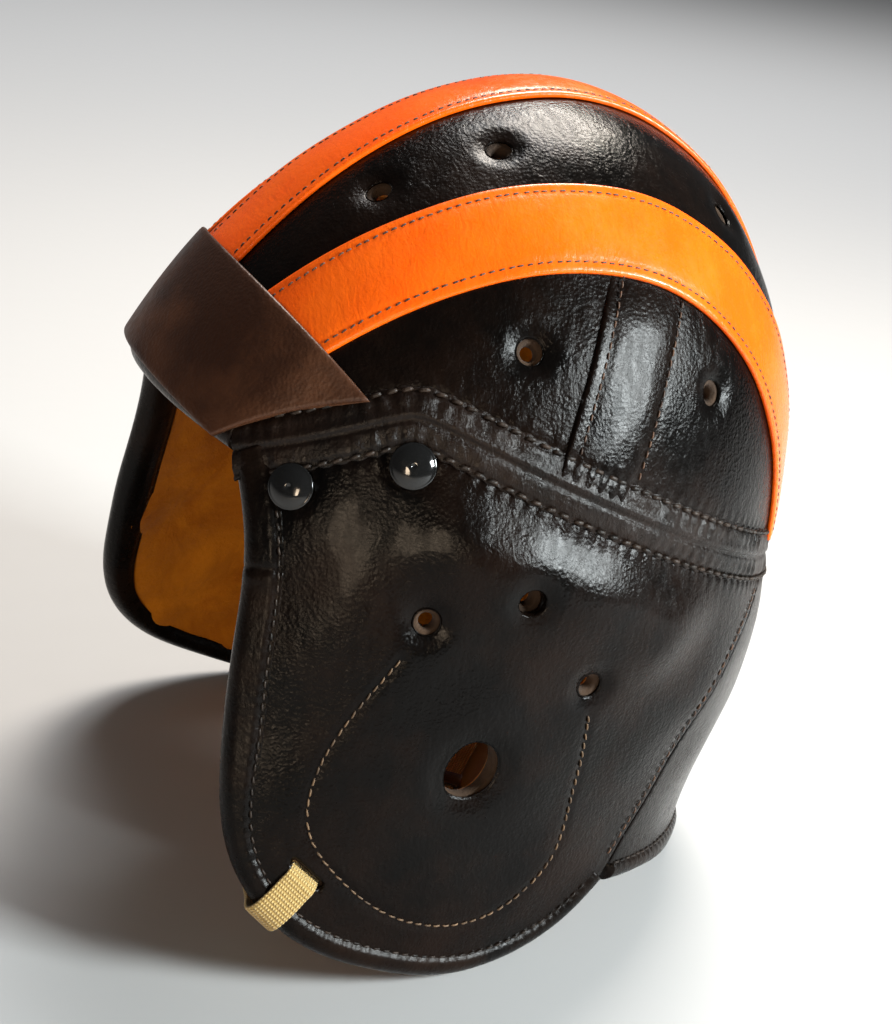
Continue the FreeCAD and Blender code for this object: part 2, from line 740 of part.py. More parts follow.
os.makedirs("parts", exist_ok=True)
for name, shape in sorted(nodes.items()):
    shape.exportStep(f"parts/{name}.step")
    print(name, "solids", len(shape.Solids), "valid", shape.isValid(), "volume", round(shape.Volume))
print("stands at", STANDING)
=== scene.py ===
import json
import math

import bmesh
import bpy
import numpy as np
from mathutils import Matrix, Vector
from mathutils.geometry import delaunay_2d_cdt


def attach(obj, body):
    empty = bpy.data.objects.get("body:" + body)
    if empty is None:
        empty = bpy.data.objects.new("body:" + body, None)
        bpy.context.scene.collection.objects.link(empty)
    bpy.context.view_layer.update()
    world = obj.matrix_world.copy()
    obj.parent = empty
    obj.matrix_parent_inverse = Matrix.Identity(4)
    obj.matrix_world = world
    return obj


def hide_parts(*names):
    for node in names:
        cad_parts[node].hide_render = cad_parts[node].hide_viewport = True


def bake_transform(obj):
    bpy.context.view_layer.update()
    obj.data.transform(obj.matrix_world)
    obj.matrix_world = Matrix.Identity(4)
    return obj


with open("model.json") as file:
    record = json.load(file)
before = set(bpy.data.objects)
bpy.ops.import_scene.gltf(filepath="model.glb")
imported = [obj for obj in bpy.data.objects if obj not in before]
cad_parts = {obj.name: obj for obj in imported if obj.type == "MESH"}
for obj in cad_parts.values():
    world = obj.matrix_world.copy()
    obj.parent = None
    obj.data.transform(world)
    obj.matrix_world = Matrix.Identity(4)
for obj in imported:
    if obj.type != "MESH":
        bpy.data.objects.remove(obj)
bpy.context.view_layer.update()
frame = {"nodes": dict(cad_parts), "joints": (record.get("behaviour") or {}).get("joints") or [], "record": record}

record = frame["record"]
mounts = {mount["name"]: mount for mount in record["mounts"]}
joints = {joint["name"]: joint for joint in frame["joints"]}

# ---------------------------------------------------------------- the helmet's form, in mm, head axes
# x is to the wearer's left, y to the back and z up the head, as the CAD draws it.
HALF_WIDTH, FRONT_DEPTH, BACK_DEPTH, CROWN_RISE, EQUATOR = 97.0, 107.5, 120.5, 157.0, 97.5
FLAP_SPLAY, SEAM_LEVEL, BROW_LEVEL = 6.0, 153.5, 118.0
NECK_FLARE, NECK_FLARE_LENGTH, NECK_LIP, NECK_LIP_LEVEL, NECK_LIP_LENGTH = 17.0, 35.0, 8.0, 48.0, 10.0
SEAM_BEND, SEAM_DROP, SEAM_SOFTNESS = -56.0, 1.045, 4.0
FLAP_EDGE = [(-89, 117), (-79, 97), (-72, 74), (-62, 42), (-48, 17), (-26, 4.2), (4, 1.5), (32, 4.4),
             (56, 15), (70, 28), (77.5, 41)]
REAR_SEAM = [(102, 164), (93, 146), (85, 118), (82, 96), (81, 78), (79, 60), (75, 42), (71, 24)]
NECK_CORNER_TURN, NECK_EDGE_BACK, NECK_EDGE_CORNER = 123.0, 50.0, 40.0
LAP_TOP, LAP_FOOT, LAP_UNDER, LAP_RISE = (-21, 250), (-13, 110), 8, 1.1
STRIPE_WIDTH, STRIPE_ROW_IN, STRIPE_SPREAD, STRIPE_PEAK = 27.5, 3.0, 36.8, 10.0
STRIPE_CLOSE_FRONT, STRIPE_CLOSE_BACK, STRIPE_FRONT_END = 0.0031, 0.0021, 73.0
CROWN_FRONT, CROWN_BACK = 81.0, -66.5
BAND_TOP, BAND_SIDE_TOP, BAND_FOOT, BAND_END_TOP, BAND_END_FOOT = 66.0, 62.0, 81.0, 45.5, 29.5
VENT_RADIUS, PAD_VENT_RADIUS, EAR_RADIUS = 3.8, 2.2, 9.0
TOP_VENTS = [(47.7, 17.1), (30.3, 20.0), (-13.7, 20.1)]
FRONT_VENT, REAR_VENT = (31.0, 51.6), (-20.7, 49.2)
FLAP_VENTS = [(-31, 103.5), (-7.4, 121), (27, 103.5)]
EAR_HOLE = (3, 68.5)
SNAPS = [(-75, 119), (-52, 140)]
EAR_STITCHES = [(-32.6, 91.5), (-37.8, 66), (-37.8, 47), (-33.5, 36), (-19, 26), (-2, 20.5), (15.6, 20),
                (38, 29.8), (47.3, 49.7), (43, 68), (38.7, 80.6), (31.7, 95)]
LEATHER, PAD_OUTER, LINING_INNER, FLAP_PUFF = 2.0, -2.2, -8.2, 4.6
SLIT, STRAP_WIDTH, STRAP_THICKNESS = (-28.2, 23.9), 10.0, 1.3
STRAP_DOWN, RIB_PITCH = np.array([0, -0.35, -0.94]), 1.25
STRAP_RUN_START, STRAP_RUN_END, KEEPER_AT = (26, -8, 2.6), (-46, 46, 2.6), 38.0
BUCKLE_HALF, BUCKLE_LENGTH, BUCKLE_BAR, BUCKLE_BEND = 6.5, 13.0, 7.0, 1.4
WIRE_RADIUS, BAR_RADIUS = 0.9, 0.75
LEAN = math.radians(22.7)
SEAM_FIRST, SEAM_LAST, SEAM_STATIONS = 33.5, 180.0, 400
SEAM_ROW, SEAM_PITCH = 7.5, 4.5

# Domain scales, so that one unit across a panel's pattern is about a millimetre on the helmet.
WALL_SCALE, TURN_SCALE, LATITUDE_SCALE = 1.85, 2.3, 2.0
CROWN_SCALES = [TURN_SCALE, LATITUDE_SCALE]

# The standing helmet's place comes from the left ear hole's mount.
ear = [1000 * value for value in mounts["ear_hole_left"]["pos_m"]]
SHIFT_Y = ear[1] - (EAR_HOLE[0] * math.cos(LEAN) + EAR_HOLE[1] * math.sin(LEAN))
SHIFT_Z = ear[2] - (EAR_HOLE[1] * math.cos(LEAN) - EAR_HOLE[0] * math.sin(LEAN))


def standing(points):
    """Head axes in mm to the standing helmet's frame in metres."""
    x, y, z = np.moveaxis(np.asarray(points, float), -1, 0)
    back = y * math.cos(LEAN) + z * math.sin(LEAN) + SHIFT_Y
    up = z * math.cos(LEAN) - y * math.sin(LEAN) + SHIFT_Z
    return np.stack([x, back, up], -1) / 1000


def head(points):
    """The standing frame in metres back to head axes in mm."""
    x, y, z = np.moveaxis(np.asarray(points, float) * 1000, -1, 0)
    y, z = y - SHIFT_Y, z - SHIFT_Z
    return np.stack([x, y * math.cos(LEAN) - z * math.sin(LEAN), z * math.cos(LEAN) + y * math.sin(LEAN)], -1)


def head_direction(vector):
    return (head(np.asarray(vector, float)) - head(np.zeros(3))) / 1000


def wall(turn, z):
    """Side wall: turn is 0 at the brow, 90 at the left ear and 180 at the nape."""
    turn, z = np.radians(turn), np.asarray(z, float)
    shrink = np.sqrt(1 - (np.clip(z - EQUATOR, 0, CROWN_RISE) / CROWN_RISE) ** 2)
    splay = FLAP_SPLAY * (np.clip(EQUATOR - z, 0, None) / EQUATOR) ** 1.5
    flare = NECK_FLARE * (1 - np.exp(np.minimum(z - SEAM_LEVEL, 0) / NECK_FLARE_LENGTH))
    lip = NECK_LIP * np.exp(-np.clip(z - NECK_LIP_LEVEL, 0, None) / NECK_LIP_LENGTH)
    back = BACK_DEPTH * shrink + flare + lip * (z < SEAM_LEVEL)
    depth = np.where(np.cos(turn) > 0, FRONT_DEPTH * shrink, back)
    return np.stack([(HALF_WIDTH * shrink + splay) * np.sin(turn), -depth * np.cos(turn), z + 0 * turn], -1)


def crown(turn, latitude):
    """Crown: turn runs from the front to the back over the top, latitude to the left."""
    turn, latitude = np.radians(turn), np.radians(latitude)
    depth = np.where(turn > 0, FRONT_DEPTH, BACK_DEPTH)
    return np.stack([HALF_WIDTH * np.sin(latitude), -depth * np.cos(latitude) * np.sin(turn),
                     EQUATOR + CROWN_RISE * np.cos(latitude) * np.cos(turn)], -1)


def wall_pattern(u, z):
    return wall(u / WALL_SCALE, z)


def crown_pattern(u, v):
    return crown(u / TURN_SCALE, v / LATITUDE_SCALE)


def side_pattern(y, z):
    """Left side of the crown, seen from the side."""
    depth = np.where(y < 0, FRONT_DEPTH, BACK_DEPTH)
    width = np.sqrt(np.clip(1 - (y / depth) ** 2 - ((z - EQUATOR) / CROWN_RISE) ** 2, 1e-4, 1))
    return np.stack([HALF_WIDTH * width, y + 0 * z, z + 0 * y], -1)


def turn_at(y, z):
    """The wall turn of the left side at depth y."""
    front, back = -wall(0, z)[..., 1], wall(180, z)[..., 1]
    return np.degrees(np.arccos(np.clip(-y / np.where(y < 0, front, back), -1, 1)))


def seam_height(y):
    ahead = SEAM_BEND - y
    return SEAM_LEVEL - SEAM_DROP * (np.hypot(ahead, SEAM_SOFTNESS) + ahead) / 2


def seam_at(turn):
    z = np.full_like(turn, SEAM_LEVEL)
    for _ in range(50):
        z = 0.6 * z + 0.4 * seam_height(wall(turn, z)[..., 1])
    return z


def neck_edge(turn):
    away = (180 - turn) / (180 - NECK_CORNER_TURN)
    return NECK_EDGE_BACK + (NECK_EDGE_CORNER - NECK_EDGE_BACK) * away ** 2


def stripe_latitude(turn):
    away = turn - STRIPE_PEAK
    return STRIPE_SPREAD - np.where(away > 0, STRIPE_CLOSE_FRONT, STRIPE_CLOSE_BACK) * away ** 2


def lap_line(z):
    """Depth of the lap between the two side panels at height z."""
    return LAP_FOOT[0] + (LAP_TOP[0] - LAP_FOOT[0]) * (z - LAP_FOOT[1]) / (LAP_TOP[1] - LAP_FOOT[1])


# ---------------------------------------------------------------- tools on surfaces and lines
def smooth(value):
    value = np.clip(value, 0, 1)
    return value * value * (3 - 2 * value)


def bump(distance, reach):
    return np.exp(-(distance / reach) ** 2)


def unit(vectors):
    return vectors / np.linalg.norm(vectors, axis=-1, keepdims=True)


def normals(surface, u, v):
    step = 0.05
    normal = unit(np.cross(surface(u + step, v) - surface(u - step, v),
                           surface(u, v + step) - surface(u, v - step)))
    facing = np.sum(normal * (surface(u, v) - [0, 0, EQUATOR]), -1, keepdims=True)
    return np.where(facing < 0, -normal, normal)


def lift(surface, u, v, height):
    return surface(u, v) + normals(surface, u, v) * np.asarray(height, float)[..., None]


def slide(surface, u, v, direction, distance):
    """Pattern place reached by going a distance along the surface in a direction."""
    step = 0.05
    by_u = (surface(u + step, v) - surface(u - step, v)) / (2 * step)
    by_v = (surface(u, v + step) - surface(u, v - step)) / (2 * step)
    a, b, c = (np.sum(p * q, -1) for p, q in ((by_u, by_u), (by_u, by_v), (by_v, by_v)))
    d, e = (np.sum(p * direction, -1) * distance for p in (by_u, by_v))
    det = a * c - b * b
    return u + (c * d - b * e) / det, v + (a * e - b * d) / det


def spline(points, count):
    """Points along a natural cubic spline through the given ones."""
    p = np.array(points, float)
    t = np.r_[0, np.cumsum(np.linalg.norm(np.diff(p, axis=0), axis=1))]
    gap, last = np.diff(t), len(p) - 1
    system, right = np.eye(len(p)), np.zeros_like(p)
    for i in range(1, last):
        system[i, i - 1:i + 2] = gap[i - 1], 2 * (gap[i - 1] + gap[i]), gap[i]
        right[i] = 6 * ((p[i + 1] - p[i]) / gap[i] - (p[i] - p[i - 1]) / gap[i - 1])
    bend = np.linalg.solve(system, right)
    place = np.linspace(0, t[-1], count)
    k = np.clip(np.searchsorted(t, place, side="right") - 1, 0, last - 1)
    d, h = (place - t[k])[:, None], gap[k][:, None]
    slope = (p[k + 1] - p[k]) / h - h * (2 * bend[k] + bend[k + 1]) / 6
    return p[k] + d * (slope + d * (bend[k] / 2 + d * (bend[k + 1] - bend[k]) / (6 * h)))


def lengths(line):
    return np.r_[0, np.cumsum(np.linalg.norm(np.diff(line, axis=0), axis=1))]


def resampled(line, spacing):
    """The line's points moved to even spacing."""
    t = lengths(line)
    place = np.linspace(0, t[-1], max(2, int(round(t[-1] / spacing)) + 1))
    return np.stack([np.interp(place, t, column) for column in line.T], -1)


def even_loop(loop, spacing):
    """A loop's points moved to even spacing."""
    return resampled(np.vstack([loop, loop[:1]]), spacing)[:-1]


def nearest(points, line):
    """Distance from each point to a line, and how far along the line the nearest place is."""
    start, along, t = line[:-1], np.diff(line, axis=0), lengths(line)
    size = np.maximum(np.sum(along * along, -1), 1e-12)
    far, place = np.empty(len(points)), np.empty(len(points))
    for first in range(0, len(points), 4000):
        gap = points[first:first + 4000, None] - start
        share = np.clip(np.sum(gap * along, -1) / size, 0, 1)
        gap = gap - share[..., None] * along
        squared = np.sum(gap * gap, -1)
        best = squared.argmin(1)
        rows = np.arange(len(best))
        far[first:first + 4000] = np.sqrt(squared[rows, best])
        place[first:first + 4000] = t[best] + share[rows, best] * np.sqrt(size[best])
    return far, place


def inside(points, loop):
    x, y = points.T
    within = np.zeros(len(points), bool)
    for (x0, y0), (x1, y1) in zip(loop, np.roll(loop, -1, axis=0)):
        if y0 != y1:
            within ^= ((y0 > y) != (y1 > y)) & (x < (x1 - x0) * (y - y0) / (y1 - y0) + x0)
    return within


def hole(surface, centre, offsets, direction=(0, 0, 1)):
    """Loop on a pattern: offsets (along direction, across it) in mm about a centre on the surface."""
    u, v = (np.full(len(offsets), float(value)) for value in centre)
    normal = normals(surface, u, v)
    along = unit(np.array(direction) - normal * np.sum(normal * direction, -1, keepdims=True))
    reach = along * offsets[:, :1] + np.cross(normal, along) * offsets[:, 1:]
    return np.stack(slide(surface, u, v, reach, 1.0), -1)


def ring(radius, count=36):
    """Points of a circle."""
    angle = np.arange(count) * 2 * math.pi / count
    return radius * np.stack([np.cos(angle), np.sin(angle)], -1)


rng = np.random.default_rng(11)
LUMPS = rng.normal(size=(14, 3))
LUMPS *= (2 * math.pi / rng.uniform(24, 70, 14) / np.linalg.norm(LUMPS, axis=1))[:, None]
LUMP_PHASE = rng.uniform(0, 2 * math.pi, 14)


def lumps(points, size=0.22):
    """Gentle unevenness of leather over felt."""
    return size * np.cos(points @ LUMPS.T + LUMP_PHASE).sum(-1) / math.sqrt(7)


# ---------------------------------------------------------------- materials
def material(name, build, **values):
    """Node material: build adds its own nodes to the principled shader."""
    made = bpy.data.materials.new(name)
    made.use_nodes = True
    nodes, links = made.node_tree.nodes, made.node_tree.links
    shader = nodes["Principled BSDF"]
    for socket, value in values.items():
        shader.inputs[socket.replace("_", " ")].default_value = value

    def add(kind, **settings):
        node = nodes.new("ShaderNode" + kind)
        for key, value in settings.items():
            if hasattr(node, key):
                setattr(node, key, value)
            else:
                node.inputs[key.replace("_", " ")].default_value = value
        return node

    build(add, links.new, shader)
    return made


def mixed(add, link, factor, first, second):
    node = add("Mix", data_type="RGBA")
    link(factor, node.inputs["Factor"])
    node.inputs[6].default_value = (*first, 1)
    node.inputs[7].default_value = (*second, 1)
    return node.outputs[2]


def ranged(add, link, value, low, high, to_low, to_high):
    node = add("MapRange", From_Min=low, From_Max=high, To_Min=to_low, To_Max=to_high)
    link(value, node.inputs["Value"])
    return node.outputs["Result"]


def bumped(add, link, shader, heights):
    """A chain of bumps. heights are (output, strength, distance in m)."""
    last = None
    for output, strength, distance in heights:
        node = add("Bump", Strength=strength, Distance=distance)
        link(output, node.inputs["Height"])
        if last:
            link(last.outputs[0], node.inputs["Normal"])
        last = node
    link(last.outputs[0], shader.inputs["Normal"])


def leather(first, second, grain=0.5, crease=0.4, low=0.2, high=0.4):
    """Hide with a pebbled grain, fine creases and a worn, uneven polish."""
    def build(add, link, shader):
        place = add("TexCoord").outputs["Object"]
        cloud = add("TexNoise", Scale=26.0, Detail=5.0, Roughness=0.6)
        fine = add("TexNoise", Scale=420.0, Detail=4.0, Roughness=0.6)
        pebble = add("TexVoronoi", Scale=950.0, feature="SMOOTH_F1", Smoothness=0.4)
        stretch = add("Mapping")
        stretch.inputs["Scale"].default_value = (1.0, 2.6, 1.0)
        stretch.inputs["Rotation"].default_value = (0.5, 0.3, 0.8)
        folds = add("TexNoise", Scale=130.0, Detail=6.0, Roughness=0.65, Distortion=1.2)
        link(place, stretch.inputs["Vector"])
        link(stretch.outputs[0], folds.inputs["Vector"])
        for node in (cloud, fine, pebble):
            link(place, node.inputs["Vector"])
        tone = ranged(add, link, cloud.outputs["Fac"], 0.42, 0.68, 0.0, 1.0)
        link(mixed(add, link, tone, first, second), shader.inputs["Base Color"])
        wear = add("Math", operation="ADD")
        link(ranged(add, link, cloud.outputs["Fac"], 0.3, 0.7, low, high), wear.inputs[0])
        link(ranged(add, link, fine.outputs["Fac"], 0.3, 0.7, -0.05, 0.07), wear.inputs[1])
        link(wear.outputs[0], shader.inputs["Roughness"])
        bumped(add, link, shader, [(pebble.outputs["Distance"], grain, 0.00012),
                                   (folds.outputs["Fac"], crease, 0.0006),
                                   (fine.outputs["Fac"], grain, 0.00015)])
    return build


def napped(first, second):
    """Suede or felt: a cloudy tone and a fine nap."""
    def build(add, link, shader):
        place = add("TexCoord").outputs["Object"]
        cloud = add("TexNoise", Scale=38.0, Detail=6.0, Roughness=0.65, Distortion=0.6)
        nap = add("TexNoise", Scale=900.0, Detail=5.0, Roughness=0.75)
        felted = add("TexNoise", Scale=240.0, Detail=5.0, Roughness=0.7)
        for node in (cloud, nap, felted):
            link(place, node.inputs["Vector"])
        tone = ranged(add, link, cloud.outputs["Fac"], 0.35, 0.66, 0.0, 1.0)
        link(mixed(add, link, tone, first, second), shader.inputs["Base Color"])
        bumped(add, link, shader, [(nap.outputs["Fac"], 0.6, 0.0005), (felted.outputs["Fac"], 0.5, 0.0012)])
    return build


def thread(first, second):
    def build(add, link, shader):
        place = add("TexCoord").outputs["Object"]
        cloud = add("TexNoise", Scale=160.0, Detail=4.0)
        ply = add("TexNoise", Scale=1600.0, Detail=2.0)
        for node in (cloud, ply):
            link(place, node.inputs["Vector"])
        tone = ranged(add, link, cloud.outputs["Fac"], 0.35, 0.65, 0.0, 1.0)
        link(mixed(add, link, tone, first, second), shader.inputs["Base Color"])
        bumped(add, link, shader, [(ply.outputs["Fac"], 0.6, 0.0003)])
    return build


def woven(add, link, shader):
    """Ribbed cotton webbing on the strap's own coordinates, in mm."""
    place = add("TexCoord").outputs["UV"]
    ribs = add("TexWave", wave_type="BANDS", bands_direction="Y", Scale=0.26, Distortion=0.5, Detail=1.0)
    plies = add("TexWave", wave_type="BANDS", bands_direction="X", Scale=0.36, Distortion=0.6, Detail=1.0)
    fuzz = add("TexNoise", Scale=5.0, Detail=5.0)
    for node in (ribs, plies, fuzz):
        link(place, node.inputs["Vector"])
    weave = add("Math", operation="MULTIPLY")
    link(ribs.outputs["Fac"], weave.inputs[0])
    link(plies.outputs["Fac"], weave.inputs[1])
    tone = mixed(add, link, weave.outputs[0], (0.36, 0.23, 0.065), (0.72, 0.53, 0.21))
    link(tone, shader.inputs["Base Color"])
    bumped(add, link, shader, [(weave.outputs[0], 0.9, 0.0005), (fuzz.outputs["Fac"], 0.4, 0.0002)])


def enamel(add, link, shader):
    place = add("TexCoord").outputs["Object"]
    dust = add("TexNoise", Scale=500.0, Detail=5.0)
    link(place, dust.inputs["Vector"])
    link(ranged(add, link, dust.outputs["Fac"], 0.4, 0.75, 0.06, 0.22), shader.inputs["Roughness"])
    bumped(add, link, shader, [(dust.outputs["Fac"], 0.1, 0.0001)])


def brushed(add, link, shader):
    place = add("TexCoord").outputs["Object"]
    stretch = add("Mapping")
    stretch.inputs["Scale"].default_value = (1.0, 1.0, 14.0)
    streaks = add("TexNoise", Scale=300.0, Detail=4.0)
    link(place, stretch.inputs["Vector"])
    link(stretch.outputs[0], streaks.inputs["Vector"])
    link(ranged(add, link, streaks.outputs["Fac"], 0.35, 0.7, 0.22, 0.45), shader.inputs["Roughness"])
    bumped(add, link, shader, [(streaks.outputs["Fac"], 0.15, 0.0001)])


SHELL = material("black_leather",
                 leather((0.0018, 0.0014, 0.0012), (0.0075, 0.0036, 0.0022), grain=0.8, low=0.16, high=0.32),
                 Specular_IOR_Level=0.085, Coat_Weight=0.03, Coat_Roughness=0.1)
WELT = material("welt_leather",
                leather((0.0030, 0.0023, 0.0019), (0.013, 0.0065, 0.004), grain=0.8, crease=0.8),
                Specular_IOR_Level=0.17)
EDGE = material("binding_leather",
                leather((0.0026, 0.0020, 0.0017), (0.011, 0.0055, 0.0032), grain=0.5, low=0.2, high=0.34),
                Specular_IOR_Level=0.085, Coat_Weight=0.02, Coat_Roughness=0.2)
BAND = material("brown_leather",
                leather((0.035, 0.013, 0.006), (0.10, 0.038, 0.016), grain=0.9, crease=0.25,
                        low=0.36, high=0.5),
                Specular_IOR_Level=0.28)
ORANGE = material("orange_leather",
                  leather((0.92, 0.105, 0.002), (0.97, 0.145, 0.003), grain=0.3, crease=0.35, high=0.34),
                  Specular_IOR_Level=0.35, Coat_Weight=0.15, Coat_Roughness=0.1)
KEEPER = material("keeper_leather",
                  leather((0.045, 0.022, 0.011), (0.09, 0.045, 0.02), grain=0.6, low=0.35, high=0.5))
SUEDE = material("suede_lining", napped((0.38, 0.115, 0.004), (0.62, 0.215, 0.009)), Roughness=0.95,
                 Sheen_Weight=0.12, Sheen_Roughness=0.4, Specular_IOR_Level=0.2)
# Dark felt for the padding's backs and rims. It is real felt, but its dark colour is partly painted shade: the
# rims round the vent holes stand in for the shade inside the vents.
FELT_AND_VENT_SHADE = material("felt_edge_and_vent_shade", napped((0.02, 0.011, 0.006), (0.06, 0.03, 0.013)), Roughness=0.95)
THREAD_BLACK = material("thread_black", thread((0.006, 0.0045, 0.0035), (0.028, 0.017, 0.011)), Roughness=0.5,
                        Specular_IOR_Level=0.3)
THREAD_BROWN = material("thread_brown", thread((0.03, 0.014, 0.008), (0.10, 0.045, 0.02)), Roughness=0.6)
THREAD_TAN = material("thread_tan", thread((0.055, 0.032, 0.016), (0.17, 0.10, 0.05)), Roughness=0.65)
WEBBING = material("tan_webbing", woven, Roughness=0.85, Sheen_Weight=0.25)
ENAMEL = material("black_enamel", enamel, Base_Color=(0.006, 0.006, 0.006, 1), Specular_IOR_Level=0.4,
                  Coat_Weight=0.25)
STEEL = material("nickel", brushed, Base_Color=(0.55, 0.53, 0.49, 1), Metallic=1.0)


# ---------------------------------------------------------------- meshes
def piece(name, points, faces, look, slot, body="shell", stands_for=(), uv=None, ride=True, rim=None):
    """A mesh from head-axis points in mm, that rides on a body and stands for CAD nodes."""
    mesh = bpy.data.meshes.new(name)
    mesh.from_pydata(standing(points).tolist(), [], faces)
    if uv is not None:
        corners = np.empty(len(mesh.loops), int)
        mesh.loops.foreach_get("vertex_index", corners)
        mesh.uv_layers.new(name="cloth").data.foreach_set("uv", uv[corners].astype(np.float32).ravel())
    work = bmesh.new()
    work.from_mesh(mesh)
    bmesh.ops.recalc_face_normals(work, faces=work.faces)
    work.to_mesh(mesh)
    work.free()
    mesh.polygons.foreach_set("use_smooth", [True] * len(mesh.polygons))
    mesh.materials.append(look)
    if rim:
        rim_look, rim_faces = rim
        mesh.materials.append(rim_look)
        mesh.polygons.foreach_set("material_index", rim_faces)
    made = bpy.data.objects.new(name, mesh)
    bpy.context.scene.collection.objects.link(made)
    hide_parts(*stands_for)
    if ride:
        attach(made, body)
    return made


def tube_faces(stations, around, closed=False, first=0):
    """Faces of a tube of sections, capped unless its two ends meet."""
    index = np.arange(stations * around).reshape(stations, around) + first
    start, end = (index, np.roll(index, -1, 0)) if closed else (index[:-1], index[1:])
    faces = np.stack([start, np.roll(start, -1, 1), np.roll(end, -1, 1), end], -1).reshape(-1, 4).tolist()
    return faces if closed else faces + [index[0].tolist(), index[-1].tolist()]


def tube(name, grid, look, slot, closed=False, **rest):
    """A swept piece. grid is stations by section by xyz."""
    return piece(name, grid.reshape(-1, 3), tube_faces(*grid.shape[:2], closed), look, slot, **rest)


def panel(name, surface, loops, outer, inner, spacing, look, slot, side=1, edge=0.8, rim=None, **rest):
    """A sheet cut to loops on a pattern: the outline, then its holes.

    outer and inner give the heights of its two faces over the surface, and edge how far its rim is rounded.
    """
    walls = [np.vstack([loop, loop[:1]]) for loop in loops]
    low, high = loops[0].min(0), loops[0].max(0)
    grid = []
    for i, y in enumerate(np.arange(low[1], high[1], spacing * 0.866)):
        x = np.arange(low[0] + (i % 2) * spacing / 2, high[0], spacing)
        grid.append(np.stack([x, np.full(len(x), y)], -1))
    grid = np.vstack(grid)
    for loop in loops:
        ahead = np.roll(loop, -1, 0) - np.roll(loop, 1, 0)
        sideways = np.stack([-ahead[:, 1], ahead[:, 0]], -1) / np.linalg.norm(ahead, axis=1, keepdims=True)
        for reach in (0.4 * edge, 0.85 * edge):
            grid = np.vstack([loop + sideways * reach, loop - sideways * reach, grid])
    grid = grid[inside(grid, loops[0])]
    for loop in loops[1:]:
        grid = grid[~inside(grid, loop)]
    gap = np.min([nearest(grid, line)[0] for line in walls], axis=0)
    grid, gap = grid[gap > 0.3 * edge], gap[gap > 0.3 * edge]
    order = np.argsort(gap, kind="stable")
    taken, kept = set(), []
    for k in order:
        cell = (int(grid[k, 0] / (0.45 * spacing)), int(grid[k, 1] / (0.45 * spacing)))
        if gap[k] < edge or cell not in taken:
            taken.add(cell)
            kept.append(k)
    grid, gap = grid[kept], gap[kept]
    flat = np.vstack([*loops, grid])
    gap = np.concatenate([np.zeros(len(flat) - len(grid)), gap])
    edges, first = [], 0
    for loop in loops:
        edges += [(first + i, first + (i + 1) % len(loop)) for i in range(len(loop))]
        first += len(loop)
    made = delaunay_2d_cdt([Vector(point) for point in flat.tolist()], edges, [], 0, 1e-7, True)
    assert len(made[0]) == len(flat), name + ": the outline crosses itself"
    triangles = np.array(made[2])
    middle = flat[triangles].mean(1)
    keep = inside(middle, loops[0])
    for loop in loops[1:]:
        keep &= ~inside(middle, loop)
    triangles = triangles[keep]
    mirror = np.array([side, 1, 1])
    place = surface(*flat.T) * mirror
    drop = edge - np.sqrt(np.clip(edge ** 2 - np.clip(edge - gap, 0, None) ** 2, 0, None))
    top = lift(surface, *flat.T, outer(place) - drop) * mirror
    base = lift(surface, *flat.T, inner(place) + drop) * mirror
    count = len(flat)
    faces = triangles.tolist() + (triangles[:, ::-1] + count).tolist()
    faces += [(b, a, a + count, b + count) for a, b in edges]
    rim_faces = [1] * len(triangles) + [0] * len(triangles) + [1] * len(edges)
    rim = (rim, rim_faces) if rim else None
    return piece(name, np.vstack([top, base]), faces, look, slot, rim=rim, **rest)


def stitched(rows, pitch, length, radius):
    """Points and faces of stitches: short rounded threads whose ends dip into the leather.

    rows are (surface, pattern line, height, side).
    """
    share = np.linspace(-1, 1, 7)
    around = np.arange(6) * math.pi / 3
    width = np.sqrt(np.clip(1 - np.abs(share) ** 5, 0.04, 1))
    x = np.repeat(share * length / 2, 6)
    y = (width[:, None] * np.cos(around)).ravel() * radius
    z = (width[:, None] * np.sin(around)).ravel() * radius + np.repeat(radius * (0.55 - 1.3 * share ** 4), 6)
    shape = np.stack([x, y, z], -1)
    points, faces = [], []
    for surface, line, height, side in rows:
        track = surface(*line.T)
        t = lengths(track)
        places = np.arange(pitch / 2, t[-1] - pitch / 3, pitch)
        places = places + rng.normal(0, 0.06 * pitch, len(places))
        u, v = (np.interp(places, t, column) for column in line.T)
        ahead = unit(np.stack([np.interp(places + 0.5, t, column) - np.interp(places - 0.5, t, column)
                               for column in track.T], -1))
        normal = normals(surface, u, v)
        mirror = np.array([side, 1, 1])
        base = surface(u, v)
        base = base + normal * (height + lumps(base * mirror) + rng.normal(0, 0.04, len(u)))[:, None]
        across = np.cross(normal, ahead)
        tilt = np.radians(7 + rng.normal(0, 3, len(u)))[:, None]
        turned_ahead = ahead * np.cos(tilt) + across * np.sin(tilt)
        across = across * np.cos(tilt) - ahead * np.sin(tilt)
        made = base[:, None] + turned_ahead[:, None] * shape[:, :1] + across[:, None] * shape[:, 1:2]
        made = made + normal[:, None] * shape[:, 2:]
        for stitch in made * mirror:
            faces += tube_faces(7, 6, first=42 * len(points))
            points.append(stitch)
    return np.vstack(points), faces


def stitching(name, rows, pitch, length, radius, look, slot):
    return piece(name, *stitched(rows, pitch, length, radius), look, slot)


# ---------------------------------------------------------------- lines on the left half of the helmet
def on_wall(line):
    """Side-view points (y, z) as wall pattern points."""
    line = np.asarray(line, float)
    return np.stack([turn_at(line[:, 0], line[:, 1]) * WALL_SCALE, line[:, 1]], -1)


def across_line(surface, u, v):
    """Directions in a surface across a line on it, pointing up."""
    across = unit(np.cross(np.gradient(surface(u, v), axis=0), normals(surface, u, v)))
    return across * np.where(across[:, 2:] < 0, -1, 1)


def seam_line(shift, first=SEAM_FIRST, last=SEAM_LAST):
    """The main seam on the wall pattern, moved across itself."""
    turn = np.linspace(first, last, SEAM_STATIONS)
    z = seam_at(turn)
    return np.stack(slide(wall_pattern, turn * WALL_SCALE, z, across_line(wall, turn, z), shift), -1)


